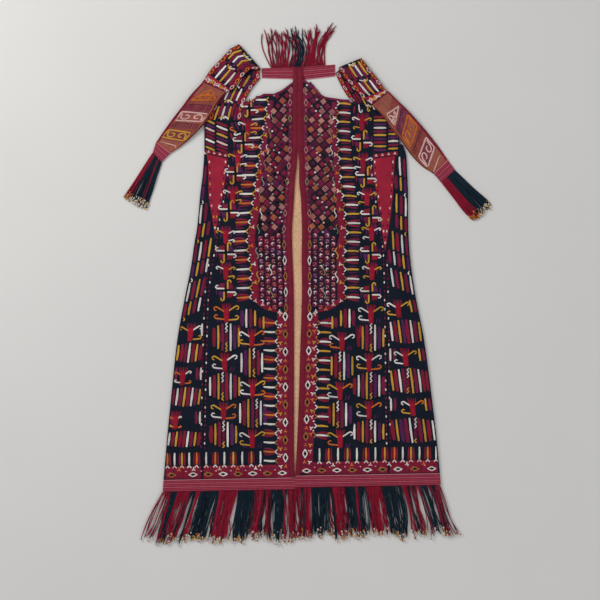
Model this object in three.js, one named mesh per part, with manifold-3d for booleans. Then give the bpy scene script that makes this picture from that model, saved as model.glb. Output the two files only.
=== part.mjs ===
// A long embroidered mantle robe, open down the front, laid flat on a surface with its front up.
// Its narrow hanging sleeves rise from the shoulders, fold over and lie forward, down and outwards.
// Millimetres: X across the robe, Y up towards its neck, Z up from the surface that it lies on.
// The origin is on the flat back, on the robe's centre line.
import * as THREE from "three";
import { mergeVertices } from "three/addons/utils/BufferGeometryUtils.js";
import Module from "manifold-3d";

const wasm = await Module();
wasm.setup();
const { lerp, clamp, smoothstep } = THREE.MathUtils;
const vec = (x, y = 0, z = 0) => new THREE.Vector3(x, y, z);

// ---- Driving sizes ----
const SEAM = 0.3; // gap between neighbouring pieces
const CLOTH = 2; // wall of a body panel
const LINING = 1; // wall of the back's lining
const TRIM = 1.2; // wall of the binding on the front edges
const TAPE = 31; // width of the woven tape round the hem
const BINDING = 14; // width of the binding on each front edge
const FRONT_UNDER = 3.9; // height of the fronts' inner face where they lie flat
const FOLD_ROLL = 1.5; // how much higher the front rises where it rolls round a side fold
const ROLL_WIDTH = 26; // how far in from the fold the roll reaches
const SHOULDER_FLAT = { from: 340, to: 430 }; // Y over which ridges and rolls fade out below the shoulders

const table = (columns, ...rows) =>
  rows.map((row) => Object.fromEntries(columns.split(" ").map((column, k) => [column, row[k]])));

// The robe's half sections, from the shoulders down. fold is the side fold, gore the inner edge of
// the side panel (above the armpit, of the shoulder patch's outer edge), and front the outer edge
// of the front panel. The gusset fills the space between gore and front.
const SIDES = {
  left: table(
    "y fold gore front",
    [456, -262, -262, -188],
    [367, -263, -262, -196.2],
    [366, -263, -255, -196.3],
    [315, -266, -251, -201],
    [250, -274, -250, -210],
    [200, -278, -242, -221],
    [155, -283, -235, -229],
    [128, -288, -232, -232],
    [48, -300, -246, -246],
    [-42, -318, -256, -256],
    [-155, -338, -260, -260],
    [-322, -356, -264, -264],
    [-434, -367, -266, -266],
    [-576, -379, -268, -268],
  ),
  right: table(
    "y fold gore front",
    [456, 278, 278, 206],
    [395, 292, 284, 208.4],
    [361, 303, 272, 209.7],
    [304, 306, 268, 212],
    [250, 308, 265, 220],
    [200, 308, 260, 228],
    [150, 309, 253, 235],
    [84, 313, 244, 244],
    [-20, 327, 247, 247],
    [-155, 353, 249, 249],
    [-322, 375, 251, 251],
    [-434, 388, 253, 253],
    [-576, 401, 254, 254],
  ),
};
// The two front edges. Above the first row they meet.
const OPENING = table(
  "y left right",
  [380, 0, 0],
  [336, -3, 3],
  [294, -8, 3],
  [238, -11, 8],
  [140, -17, 11],
  [70, -15, 10],
  [-6, -12, 11],
  [-182, -11, 6],
  [-322, -11, 2],
  [-462, -11, -4],
  [-546, -8.5, -8.5],
);
// The fronts' upper edges, from the shoulder patch to the front edge. Each row heads a column of
// the front's grid.
const NECKLINE = {
  left: table(
    "x y",
    [-188, 458],
    [-172, 458],
    [-157, 458],
    [-151, 505],
    [-143, 510],
    [-118, 524],
    [-95, 535],
    [-67, 535],
    [-45, 545],
    [-BINDING, 568],
    [0, 572],
  ),
  right: table(
    "x y",
    [206, 488],
    [178, 500],
    [151, 511],
    [132, 518],
    [111, 521],
    [90, 524],
    [75, 527],
    [60, 535],
    [42, 557],
    [BINDING, 577],
    [0, 577],
  ),
};
// The shoulder patches: Y of their upper corners at the front panel and outside, and of the armhole
// seam below them, from the front panel to the gusset's outer corner. cornerAt is the Y at which
// the patch's own lower outer corner meets the side.
const PATCH = {
  left: { innerTop: 458, outerTop: 458, innerFoot: 352.5, outerFoot: 366, cornerAt: 367 },
  right: { innerTop: 488, outerTop: 459, innerFoot: 353, outerFoot: 361, cornerAt: 361 },
};
const GUSSET_POINT = { left: 134, right: 92 }; // Y of the gussets' lower tips
const SIDE_TOP = { left: 366, right: 394 }; // Y of the side panels' upper edges
const BACK_SEAM = { left: { top: -240, foot: -268 }, right: { top: 240, foot: 254 } };
const HEM = {
  left: { y: -541.5, side: -3.5, middle: 3.5 }, // the tape's upper edge and its rise at the side and middle
  right: { y: -529.5, side: 3.5, middle: -3.5 },
};
const HEM_TILT_FROM = -100; // Y below which the hem's slant begins

// Soft ridges in the fronts and side panels, each along a line, with its half width and its rise.
const RIDGES = table(
  "x0 y0 x1 y1 width rise",
  [-206, 330, -150, 110, 28, 1.5],
  [-262, 60, -312, -500, 26, 1.7],
  [-150, -90, -176, -520, 28, 2.0],
  [-64, -190, -82, -535, 24, 1.5],
  [-110, 260, -96, 20, 34, 1.1],
  [226, 330, 164, 100, 28, 1.6],
  [268, 30, 326, -470, 27, 1.8],
  [132, -110, 172, -515, 28, 2.1],
  [58, -170, 74, -500, 22, 1.4],
  [104, 240, 90, 0, 34, 1.0],
);
const MOST_RISE = 2.4;

// The sleeves. riser: edges from the shoulder seam up to the fold. forward: edges from the fold
// down to the cuff's end, with the height that each station lies at. Each row gives a point on the
// outer edge (ox, oy) and one on the inner edge (ix, iy).
const SLEEVE = { wall: 1.9, shoulderHeight: 5.9, height: 4.4, foldGap: 3.2, cuffHeight: 4.8 };
const SLEEVES = {
  left: {
    riser: table(
      "ox oy ix iy",
      [-254, 458.6, -158.6, 458.6],
      [-235, 505, -152.6, 502],
      [-213, 560, -133, 543],
      [-189, 622, -107, 577],
    ),
    fold: { outer: vec(-165, 674), inner: vec(-103, 604) },
    forward: table(
      "ox oy ix iy under",
      [-190, 660, -133, 602, 7.6],
      [-216, 631, -153, 582, 7.6],
      [-244, 602, -178, 549, 7.6],
      [-267, 567, -200, 537, 7.6],
      [-298, 533, -220, 515, 7.5],
      [-322, 501, -241, 479, 7.2],
      [-350, 465, -263, 448, 6.6],
      [-378, 427, -302, 409, 2.6],
      [-393, 405, -330, 386, 0.4],
      [-397, 400, -356, 369, 0],
      [-406, 372, -381, 344, 0],
    ),
    tips: { outer: vec(-482, 249), inner: vec(-417, 213) },
  },
  right: {
    riser: table(
      "ox oy ix iy",
      [256, 469.4, 152.4, 513.2],
      [247, 508, 137, 530],
      [226, 556, 119, 561],
      [203, 596, 104.6, 592],
    ),
    fold: { outer: vec(178, 635), inner: vec(114, 609) },
    forward: table(
      "ox oy ix iy under",
      [206, 596, 129, 579, 7.6],
      [223, 576, 148, 558, 7.6],
      [241, 550, 176, 527, 7.6],
      [254, 540, 207, 502, 7.6],
      [279, 515, 241, 467, 7.6],
      [300, 495, 258, 440, 7.4],
      [330, 463, 282, 411, 6.9],
      [368, 419, 314, 366, 3.2],
      [397, 382, 347, 332, 0.4],
      [419, 350, 379, 311, 0],
      [439, 323, 400, 287, 0],
    ),
    tips: { outer: vec(540, 224), inner: vec(484, 179) },
  },
};
const PANEL_STATION = 3; // the forward row where the plain salmon part of a sleeve starts
const CUFF_STATION = 9; // the forward row where its cuff starts

// The neck band's corners on the shoulder side and at the middle.
const BAND = {
  left: { x: -101, top: 607, foot: 579, middleTop: 609, middleFoot: 576 },
  right: { x: 103.5, top: 617, foot: 584, middleTop: 609, middleFoot: 572 },
};
const BAND_WALL = 2;

// Fringes: how many locks each has, how wide and high a lock is, its length and how much that
// varies, and the heights that its middle and its tip lie at. A cuff's locks end at stated tips.
const FRINGE = {
  front: { locks: 56, width: 3.4, height: 2.2, length: 146, uneven: 9, bendZ: 5.8, tipZ: 5.2 },
  back: { locks: 48, width: 3.6, height: 2.2, length: 136, uneven: 9, bendZ: 2, tipZ: 1.4 },
  cuff: { locks: 15, width: 2, height: 2.4, uneven: 7, bendZ: 2.4, tipZ: 1.2 },
  neck: { locks: 38, width: 2, height: 2.2, length: 108, uneven: 6, bendZ: 2.8, tipZ: 1.4 },
};
const FRINGE_STRIP = { width: 3, height: 2, steps: 12 };
const LOCK = { steps: 3, tip: 0.6 }; // sections along a lock, and the share of its width left at its tip
const BUNCH = { pitch: 52, gather: 4.6, early: 0.35 }; // the hem's locks draw together in bunches
const SPREAD = { left: 0.145, right: 0.112 }; // how far a hem lock leans out, for each mm from the middle
const CUFF_LOCKS = { inset: 2, straight: 0.45 }; // clear of the cuff's corners; share that runs straight on
const NECK_FRINGE = { left: -76, right: 77, spreadLeft: 10, spreadRight: 24, bow: 7 };

const COLOURS = {
  ground: 0x1a2230,
  crimson: 0x9c2036,
  maroon: 0x6e1c2e,
  salmon: 0xa86450,
  tape: 0xb04858,
  lining: 0xd8a474,
  fringeRed: 0x7e1626,
};

// ---- Reading the tables ----
// A column's value at height y, by straight lines between rows. The rows run downwards.
function read(rows, column, y) {
  const below = rows.findIndex((row) => row.y <= y);
  if (below === 0) return rows[0][column];
  if (below < 0) return rows.at(-1)[column];
  const [a, b] = [rows[below - 1], rows[below]];
  return lerp(b[column], a[column], (y - b.y) / (a.y - b.y));
}
const outward = (side) => (side === "left" ? -1 : 1);
const foldX = (side, y) => read(SIDES[side], "fold", y);
const goreX = (side, y) => read(SIDES[side], "gore", y) - (outward(side) * SEAM) / 2;
const frontX = (side, y) => read(SIDES[side], "front", y) - (outward(side) * SEAM) / 2;
const edgeX = (side, y) => read(OPENING, side, y) + (outward(side) * SEAM) / 2;
const backSeamX = (side, y) => {
  const { top, foot } = BACK_SEAM[side];
  return lerp(top, foot, clamp((SIDE_TOP.right - y) / (SIDE_TOP.right - HEM.left.y), 0, 1));
};

// Heights from one Y up to another that take in every bend of a side's seams, and are nowhere
// further apart than LEVEL_STEP. Pieces that share a seam share these.
const LEVEL_STEP = 58;
function levels(side, from, to) {
  const bends = SIDES[side].map((row) => row.y).filter((y) => y > from + 1 && y < to - 1);
  const ends = [from, ...bends.reverse(), to];
  return ends.slice(1).reduce((made, end) => {
    const start = made.at(-1);
    const steps = Math.ceil((end - start) / LEVEL_STEP);
    for (let k = 1; k <= steps; k++) made.push(lerp(start, end, k / steps));
    return made;
  }, [from]);
}

// How far a point of the lower robe moves up or down, so that each half's hem slants.
function hemTilt(side, x, y) {
  const { side: atSide, middle } = HEM[side];
  const out = Math.abs(x / foldX(side, y));
  return lerp(middle, atSide, out) * smoothstep(HEM_TILT_FROM - y, 0, HEM_TILT_FROM - HEM[side].y);
}

// Height of the front layer's inner face.
function frontUnder(side, x, y) {
  const roll = FOLD_ROLL * Math.exp(-(((x - foldX(side, y)) / ROLL_WIDTH) ** 2));
  let ridges = 0;
  for (const ridge of RIDGES) {
    const line = new THREE.Line3(vec(ridge.x0, ridge.y0), vec(ridge.x1, ridge.y1));
    const nearest = line.closestPointToPoint(vec(x, y), true, vec(0, 0));
    ridges += ridge.rise * Math.exp(-((nearest.distanceTo(vec(x, y)) / ridge.width) ** 2));
  }
  const rise = Math.min(roll + ridges, MOST_RISE);
  return FRONT_UNDER + rise * (1 - smoothstep(y, SHOULDER_FLAT.from, SHOULDER_FLAT.to));
}
function frontPair(side, x, y) {
  const under = frontUnder(side, x, y);
  const tilted = y + hemTilt(side, x, y);
  return { inner: vec(x, tilted, under), outer: vec(x, tilted, under + CLOTH) };
}

// ---- Making solids ----
const root = new THREE.Group();

function add(name, geometry, colour, roughness = 0.75) {
  const material = new THREE.MeshStandardMaterial({ color: COLOURS[colour], roughness, metalness: 0 });
  const mesh = new THREE.Mesh(geometry, material);
  mesh.name = name;
  root.add(mesh);
}

// A geometry from points and triangles, turned to face outwards.
function closed(points, triangles) {
  let volume = 0;
  for (const [a, b, c] of triangles)
    volume += points[a].dot(points[b].clone().cross(points[c]));
  const index = volume < 0 ? triangles.map(([a, b, c]) => [a, c, b]) : triangles;
  const geometry = new THREE.BufferGeometry().setFromPoints(points);
  geometry.setIndex(index.flat());
  return geometry;
}

// A cloth wall over a grid of rows and columns. at(i, j) gives its outer and inner face there.
// A ring's last column is its first.
function wall(rows, columns, at, ring = false) {
  const points = [];
  const count = ring ? columns : columns + 1;
  for (let i = 0; i <= rows; i++)
    for (let j = 0; j < count; j++) {
      const { outer, inner } = at(i, j);
      points.push(outer, inner);
    }
  const outerAt = (i, j) => 2 * (i * count + (j % count));
  const innerAt = (i, j) => outerAt(i, j) + 1;
  const triangles = [];
  const quad = (a, b, c, d) => triangles.push([a, b, c], [a, c, d]);
  for (let i = 0; i < rows; i++)
    for (let j = 0; j < columns; j++) {
      quad(outerAt(i, j), outerAt(i, j + 1), outerAt(i + 1, j + 1), outerAt(i + 1, j));
      quad(innerAt(i, j), innerAt(i + 1, j), innerAt(i + 1, j + 1), innerAt(i, j + 1));
    }
  for (let j = 0; j < columns; j++) {
    quad(outerAt(0, j), innerAt(0, j), innerAt(0, j + 1), outerAt(0, j + 1));
    quad(outerAt(rows, j), outerAt(rows, j + 1), innerAt(rows, j + 1), innerAt(rows, j));
  }
  for (let i = 0; i < rows && !ring; i++) {
    quad(outerAt(i, 0), outerAt(i + 1, 0), innerAt(i + 1, 0), innerAt(i, 0));
    quad(outerAt(i, columns), innerAt(i, columns), innerAt(i + 1, columns), outerAt(i + 1, columns));
  }
  return closed(points, triangles);
}

// A flat sheet from its outline.
function flatSheet(corners, bottom, thickness) {
  const shape = new THREE.Shape(corners.map(([x, y]) => new THREE.Vector2(x, y)));
  const geometry = new THREE.ExtrudeGeometry(shape, { depth: thickness, bevelEnabled: false });
  return geometry.translate(0, 0, bottom);
}

// ---- Body panels ----
const bodyFoot = (side) => HEM[side].y + SEAM / 2;
const frontLevels = (side) => levels(side, bodyFoot(side), NECKLINE[side][0].y);
function frontGrid(side) {
  const heads = NECKLINE[side];
  const [outerX, last] = [heads[0].x, heads.length - 1];
  const rises = frontLevels(side).map((y) => (y - bodyFoot(side)) / (heads[0].y - bodyFoot(side)));
  return (i, j) => {
    const share = heads[j].x / outerX;
    const y = lerp(bodyFoot(side), heads[j].y, rises[i]);
    const edge = edgeX(side, y);
    let x = lerp(edge, frontX(side, y), share);
    if (j === last - 1) x = edge + outward(side) * BINDING;
    return frontPair(side, x, y);
  };
}
function front(side) {
  const rows = frontLevels(side).length - 1;
  add(`front_${side}`, wall(rows, NECKLINE[side].length - 1, frontGrid(side)), "ground");
}

// The binding lies on the front's last column, and runs on over the neck band.
const BINDING_TOP = [
  { rise: 0.15, drop: 0 },
  { rise: 0.45, drop: 0.75 },
  { rise: 0.7, drop: 1 },
  { rise: 1, drop: 1 },
];
function edgeBinding(side) {
  const grid = frontGrid(side);
  const last = NECKLINE[side].length - 1;
  const rows = frontLevels(side).length - 1;
  const lifted = ({ outer }) => ({
    inner: outer.clone().add(vec(0, 0, SEAM)),
    outer: outer.clone().add(vec(0, 0, SEAM + TRIM)),
  });
  const at = (i, j) => {
    if (i <= rows) return lifted(grid(i, last - 1 + j));
    const { rise, drop } = BINDING_TOP[i - rows - 1];
    const pair = lifted(grid(rows, last - 1 + j));
    const lowered = drop * (pair.inner.z - BAND_WALL - SEAM);
    for (const point of [pair.inner, pair.outer]) {
      point.y = lerp(point.y, BAND[side].middleTop, rise);
      point.z -= lowered;
    }
    return pair;
  };
  add(`edge_binding_${side}`, wall(rows + BINDING_TOP.length, 1, at), "maroon");
}

// The seam over the gusset: its Y at a given X.
function armholeY(side, x) {
  const { innerFoot, outerFoot } = PATCH[side];
  const [a, b] = [frontX(side, innerFoot), goreX(side, outerFoot)];
  return lerp(innerFoot, outerFoot, (x - a) / (b - a));
}
const armholeX = (side, across, outerX) =>
  lerp(frontX(side, PATCH[side].innerFoot) + outward(side) * SEAM, outerX, across);

function shoulderPatch(side) {
  const { innerTop, outerTop, cornerAt } = PATCH[side];
  const between = levels(side, cornerAt, outerTop).slice(1, -1);
  const [rows, columns] = [between.length + 1, 4];
  const at = (i, j) => {
    const across = j / columns;
    if (i === 0) {
      const x = armholeX(side, across, goreX(side, cornerAt));
      return frontPair(side, x, armholeY(side, x));
    }
    const y = i < rows ? between[i - 1] : lerp(innerTop, outerTop, across);
    const inner = frontX(side, y) + outward(side) * SEAM;
    return frontPair(side, lerp(inner, goreX(side, y), across), y);
  };
  add(`shoulder_patch_${side}`, wall(rows, columns, at), "ground");
}

function gusset(side) {
  const { innerFoot, outerFoot } = PATCH[side];
  const heights = levels(side, GUSSET_POINT[side], innerFoot);
  const [rows, columns] = [heights.length - 1, 3];
  const at = (i, j) => {
    const across = j / columns;
    if (i === rows) {
      const x = armholeX(side, across, goreX(side, outerFoot));
      return frontPair(side, x, armholeY(side, x) - SEAM);
    }
    const inner = frontX(side, heights[i]) + outward(side) * SEAM;
    return frontPair(side, lerp(inner, goreX(side, heights[i]), across), heights[i]);
  };
  add(`gusset_${side}`, wall(rows, columns, at), "crimson");
}

// One section of the side, from the back edge on the floor, round the fold, to the front edge.
const ROUND = { back: 2, arc: 5 };
function sectionRound(side, y, backEdge, frontEdge, frontSteps) {
  const fold = foldX(side, y);
  const radius = (frontUnder(side, fold, y) + CLOTH) / 2;
  const centre = fold - outward(side) * radius;
  const tilt = hemTilt(side, fold, y);
  const pairs = [];
  for (let k = 0; k < ROUND.back; k++) {
    const x = lerp(backEdge, centre, k / ROUND.back);
    pairs.push({ outer: vec(x, y + tilt, 0), inner: vec(x, y + tilt, CLOTH) });
  }
  for (let k = 0; k <= ROUND.arc; k++) {
    const angle = Math.PI * (k / ROUND.arc - 0.5);
    const place = (r) =>
      vec(centre + outward(side) * r * Math.cos(angle), y + tilt, radius + r * Math.sin(angle));
    pairs.push({ outer: place(radius), inner: place(radius - CLOTH) });
  }
  for (let k = 1; k <= frontSteps; k++)
    pairs.push(frontPair(side, lerp(centre, frontEdge, k / frontSteps), y));
  return pairs;
}

function sidePanel(side) {
  const frontSteps = 4;
  const sections = levels(side, bodyFoot(side), SIDE_TOP[side] - SEAM).map((y) => {
    const front = goreX(side, y) + outward(side) * SEAM;
    const back = backSeamX(side, y) + (outward(side) * SEAM) / 2;
    return sectionRound(side, y, back, front, frontSteps);
  });
  const at = (i, j) => sections[i][j];
  add(`side_panel_${side}`, wall(sections.length - 1, sections[0].length - 1, at), "ground");
}

// The back: flat on the floor, its neck edge just below the fronts'.
const BACK_NECK_DROP = 7; // how far the back's neck edge lies below the fronts'
const BACK_NECK_MIDDLE = 550; // Y of the back's neck edge on the centre line
const BACK_SHOULDER_INSET = 2; // how far in from the fronts' shoulder the back's lies
const LINING_INSET = 6; // how far in from the back's edges its lining stops
const backHemY = (x) => {
  const [a, b] = [BACK_SEAM.left.foot, BACK_SEAM.right.foot];
  return lerp(HEM.left.y + HEM.left.side, HEM.right.y + HEM.right.side, (x - a) / (b - a));
};
function backOutline(inset) {
  const neck = (side) =>
    NECKLINE[side]
      .slice(2, -2)
      .map(({ x, y }) => [x, y - BACK_NECK_DROP - inset]);
  const seam = (side) => {
    const x = (y) => backSeamX(side, y) - outward(side) * (SEAM / 2 + inset);
    const foot = backHemY(BACK_SEAM[side].foot) + SEAM / 2 + inset;
    const head = SIDE_TOP[side] + SEAM + inset;
    const wide = SIDES[side][0].fold - outward(side) * (BACK_SHOULDER_INSET + inset);
    const shoulder = PATCH[side].outerTop - BACK_NECK_DROP - inset;
    return [[x(foot), foot], [x(head), head], [wide, head], [wide, shoulder]];
  };
  const middle = [0, BACK_NECK_MIDDLE - inset];
  return [...seam("right"), ...neck("right"), middle, ...neck("left").reverse(), ...seam("left").reverse()];
}
function back() {
  add("back_panel", flatSheet(backOutline(0), 0, CLOTH), "ground");
  add("back_lining", flatSheet(backOutline(LINING_INSET), CLOTH + SEAM, LINING), "lining");
}

// ---- Hem tape ----
function hemTape(side) {
  const frontSteps = 13;
  const sections = [0, 1].map((i) => {
    const y = HEM[side].y - SEAM / 2 - i * TAPE;
    const back = backSeamX(side, y) + (outward(side) * SEAM) / 2;
    return sectionRound(side, y, back, edgeX(side, y), frontSteps);
  });
  add(`hem_tape_${side}`, wall(1, sections[0].length - 1, (i, j) => sections[i][j]), "tape");
}
const BACK_TAPE = TAPE - 3;
function backTape() {
  const ends = [BACK_SEAM.left.foot + SEAM, BACK_SEAM.right.foot - SEAM];
  const upper = ends.map((x) => [x, backHemY(x) - SEAM / 2]);
  const lower = upper.map(([x, y]) => [x, y - BACK_TAPE]).reverse();
  add("hem_tape_back", flatSheet([...upper, ...lower], 0, CLOTH), "tape");
}

// ---- Sleeves ----
const FACE_STEPS = 3;
const END_STEPS = 3;
// The ring of a sleeve's two layers lying on each other, round one station.
function ringPair(station, j) {
  const across = station.inner.clone().sub(station.outer);
  const middle = station.outer.clone().lerp(station.inner, 0.5);
  const reach = (across.length() - station.height) / 2;
  across.normalize();
  const half = FACE_STEPS + END_STEPS;
  const turn = j < half ? 1 : -1;
  const k = j % half;
  const place = (r) => {
    if (k <= FACE_STEPS) return [turn * lerp(-reach, reach, k / FACE_STEPS), turn * r];
    const angle = Math.PI * (0.5 - (k - FACE_STEPS) / END_STEPS);
    return [turn * (reach + r * Math.cos(angle)), turn * r * Math.sin(angle)];
  };
  const at = (r) => {
    const [along, up] = place(r);
    return middle.clone().addScaledVector(across, along).addScaledVector(station.up, up);
  };
  return { outer: at(station.height / 2), inner: at(station.height / 2 - SLEEVE.wall) };
}
const ringWall = (stations) =>
  wall(stations.length - 1, 2 * (FACE_STEPS + END_STEPS), (i, j) => ringPair(stations[i], j), true);

// Stations of the part that lies forward, at any place along it: the rows' points are joined by
// smooth curves.
function forwardAt(side) {
  const rows = SLEEVES[side].forward;
  const outer = new THREE.CatmullRomCurve3(rows.map((r) => vec(r.ox, r.oy, r.under)));
  const inner = new THREE.CatmullRomCurve3(rows.map((r) => vec(r.ix, r.iy, r.under)));
  return (place, height = SLEEVE.height) => {
    const [a, b] = [outer, inner].map((curve) => curve.getPoint(place / (rows.length - 1)));
    for (const point of [a, b]) point.z = Math.max(point.z, 0) + height / 2;
    return { outer: a, inner: b, up: vec(0, 0, -1), height };
  };
}
// The stations from one row to another, half a seam short of each.
function sleeveSpan(side, from, to, steps, height) {
  const at = forwardAt(side);
  const middle = (place) => at(place).outer.lerp(at(place).inner, 0.5);
  const trimmed = (place, way) => {
    const step = 0.1 * way;
    return place + (step * SEAM) / 2 / middle(place).distanceTo(middle(place + step));
  };
  const stations = [];
  for (let k = 0; k <= steps; k++)
    stations.push(at(lerp(trimmed(from, 1), trimmed(to, -1), k / steps), height));
  return stations;
}

const FOLD_STEPS = 6;
const SPAN_STEPS = { upper: 4, lower: 10, cuff: 1 };
function foldStations(side) {
  const { outer, inner } = SLEEVES[side].fold;
  const radius = (SLEEVE.foldGap + SLEEVE.height) / 2;
  const along = inner.clone().sub(outer).normalize();
  const away = vec(outward(side) * along.y, -outward(side) * along.x);
  const stations = [];
  for (let k = 0; k <= FOLD_STEPS; k++) {
    const angle = (Math.PI * k) / FOLD_STEPS;
    const shift = away.clone().multiplyScalar(radius * (Math.sin(angle) - 1) - SLEEVE.height / 2);
    shift.z = SLEEVE.height / 2 + radius * (1 - Math.cos(angle));
    const up = vec(0, 0, Math.cos(angle)).addScaledVector(away, -Math.sin(angle));
    stations.push({
      outer: outer.clone().add(shift),
      inner: inner.clone().add(shift),
      up,
      height: SLEEVE.height,
    });
  }
  return stations;
}

function sleeve(side) {
  const rows = SLEEVES[side].riser;
  const riser = rows.map((row, k) => {
    const height = lerp(SLEEVE.shoulderHeight, SLEEVE.height, k / (rows.length - 1));
    return {
      outer: vec(row.ox, row.oy, height / 2),
      inner: vec(row.ix, row.iy, height / 2),
      up: vec(0, 0, 1),
      height,
    };
  });
  const forward = sleeveSpan(side, 0, PANEL_STATION, SPAN_STEPS.upper);
  add(`sleeve_${side}`, ringWall([...riser, ...foldStations(side), ...forward]), "ground");
  const lower = sleeveSpan(side, PANEL_STATION, CUFF_STATION, SPAN_STEPS.lower);
  add(`sleeve_panel_${side}`, ringWall(lower), "salmon");
  const end = SLEEVES[side].forward.length - 1;
  const cuff = sleeveSpan(side, CUFF_STATION, end, SPAN_STEPS.cuff, SLEEVE.cuffHeight);
  add(`cuff_${side}`, ringWall(cuff), "tape");
}

// ---- Neck band ----
function neckBand(side) {
  const { x, top, foot, middleTop, middleFoot } = BAND[side];
  const middle = (outward(side) * SEAM) / 2;
  const corners = [[middle, middleTop], [x, top], [x, foot], [middle, middleFoot]];
  add(`neck_band_${side}`, flatSheet(corners, 0, BAND_WALL), "tape");
}

// ---- Fringes ----
function solid(geometry) {
  const bare = geometry.index ? geometry.clone() : mergeVertices(geometry);
  for (const extra of ["normal", "uv"]) bare.deleteAttribute(extra);
  const merged = mergeVertices(bare);
  return new wasm.Manifold(
    new wasm.Mesh({
      numProp: 3,
      vertProperties: merged.attributes.position.array,
      triVerts: new Uint32Array(merged.index.array),
    }),
  );
}
function fused(geometries) {
  const mesh = wasm.Manifold.union(geometries.map(solid)).getMesh();
  const geometry = new THREE.BufferGeometry();
  geometry.setAttribute("position", new THREE.BufferAttribute(mesh.vertProperties, 3));
  geometry.setIndex(new THREE.BufferAttribute(mesh.triVerts, 1));
  return geometry;
}

// One lock of threads: three-sided, along a bent path, thinner at its tip.
function lock(rootPoint, bend, tip, { width, height }) {
  const curve = new THREE.QuadraticBezierCurve3(rootPoint, bend, tip);
  const points = [];
  for (let k = 0; k <= LOCK.steps; k++) {
    const share = k / LOCK.steps;
    const size = lerp(1, LOCK.tip, share ** 2);
    const centre = curve.getPoint(share);
    const ahead = curve.getTangent(share);
    const aside = vec(ahead.y, -ahead.x).normalize().multiplyScalar((width * size) / 2);
    const foot = centre.clone().add(vec(0, 0, (-height * size) / 3));
    points.push(foot.clone().add(aside), foot.clone().sub(aside));
    points.push(centre.clone().add(vec(0, 0, (height * size * 2) / 3)));
  }
  const last = 3 * LOCK.steps;
  const triangles = [[0, 2, 1], [last, last + 1, last + 2]];
  for (let k = 0; k < last; k += 3)
    for (let side = 0; side < 3; side++) {
      const [a, b] = [k + side, k + ((side + 1) % 3)];
      triangles.push([a, b, b + 3], [a, b + 3, a + 3]);
    }
  return closed(points, triangles);
}

// A strip along a line of points, each the middle of its upper or inner edge.
function strip(points, way) {
  const { width, height } = FRINGE_STRIP;
  const at = (i, j) => {
    const foot = points[i].clone().addScaledVector(way, j * width);
    return { inner: foot, outer: foot.clone().add(vec(0, 0, height)) };
  };
  return wall(points.length - 1, 1, at);
}

// Uneven lock lengths, the same each time.
const uneven = (k) => 0.6 * Math.sin(1.7 * k) + 0.4 * Math.sin(0.61 * k + 1.2);

// A fringe along the hem between two X values. Its strip hangs from edgeY at height floorZ.
function hemFringe(name, size, [from, to], edgeY, floorZ) {
  const down = vec(0, -1);
  const stripPoints = [];
  for (let k = 0; k <= FRINGE_STRIP.steps; k++) {
    const x = lerp(from, to, k / FRINGE_STRIP.steps);
    stripPoints.push(vec(x, edgeY(x) - SEAM, floorZ(x)));
  }
  const geometries = [strip(stripPoints, down)];
  for (let k = 0; k < size.locks; k++) {
    const x = lerp(from, to, (k + 0.5) / size.locks);
    const y = edgeY(x) - SEAM - FRINGE_STRIP.width / 2;
    const lean = x * (x < 0 ? SPREAD.left : SPREAD.right);
    const aside = lean + BUNCH.gather * Math.sin((2 * Math.PI * x) / BUNCH.pitch);
    const length = size.length + size.uneven * uneven(k);
    const rootPoint = vec(x, y, floorZ(x) + FRINGE_STRIP.height / 2);
    const bend = vec(x + BUNCH.early * aside, y - length / 2, size.bendZ);
    const tip = vec(x + aside, y - length, size.tipZ);
    geometries.push(lock(rootPoint, bend, tip, size));
  }
  add(name, fused(geometries), "fringeRed", 0.6);
}

// How far inside the front edge, the side fold and the back seam a hem fringe stops.
const FRINGE_ENDS = { middle: 1, fold: 5, seam: 4 };
function hemFringes() {
  for (const side of ["left", "right"]) {
    const foot = HEM[side].y - SEAM / 2 - TAPE;
    const edge = (x) => foot + hemTilt(side, x, foot);
    const { middle, fold } = FRINGE_ENDS;
    const ends = [edgeX(side, foot) + outward(side) * middle, foldX(side, foot) - outward(side) * fold];
    ends.sort((a, b) => a - b);
    const floorZ = (x) => frontUnder(side, x, foot);
    hemFringe(`hem_fringe_${side}`, FRINGE.front, ends, edge, floorZ);
  }
  const inside = [BACK_SEAM.left.foot + FRINGE_ENDS.seam, BACK_SEAM.right.foot - FRINGE_ENDS.seam];
  const backEdge = (x) => backHemY(x) - SEAM / 2 - BACK_TAPE;
  hemFringe("hem_fringe_back", FRINGE.back, inside, backEdge, () => 0);
}

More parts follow.
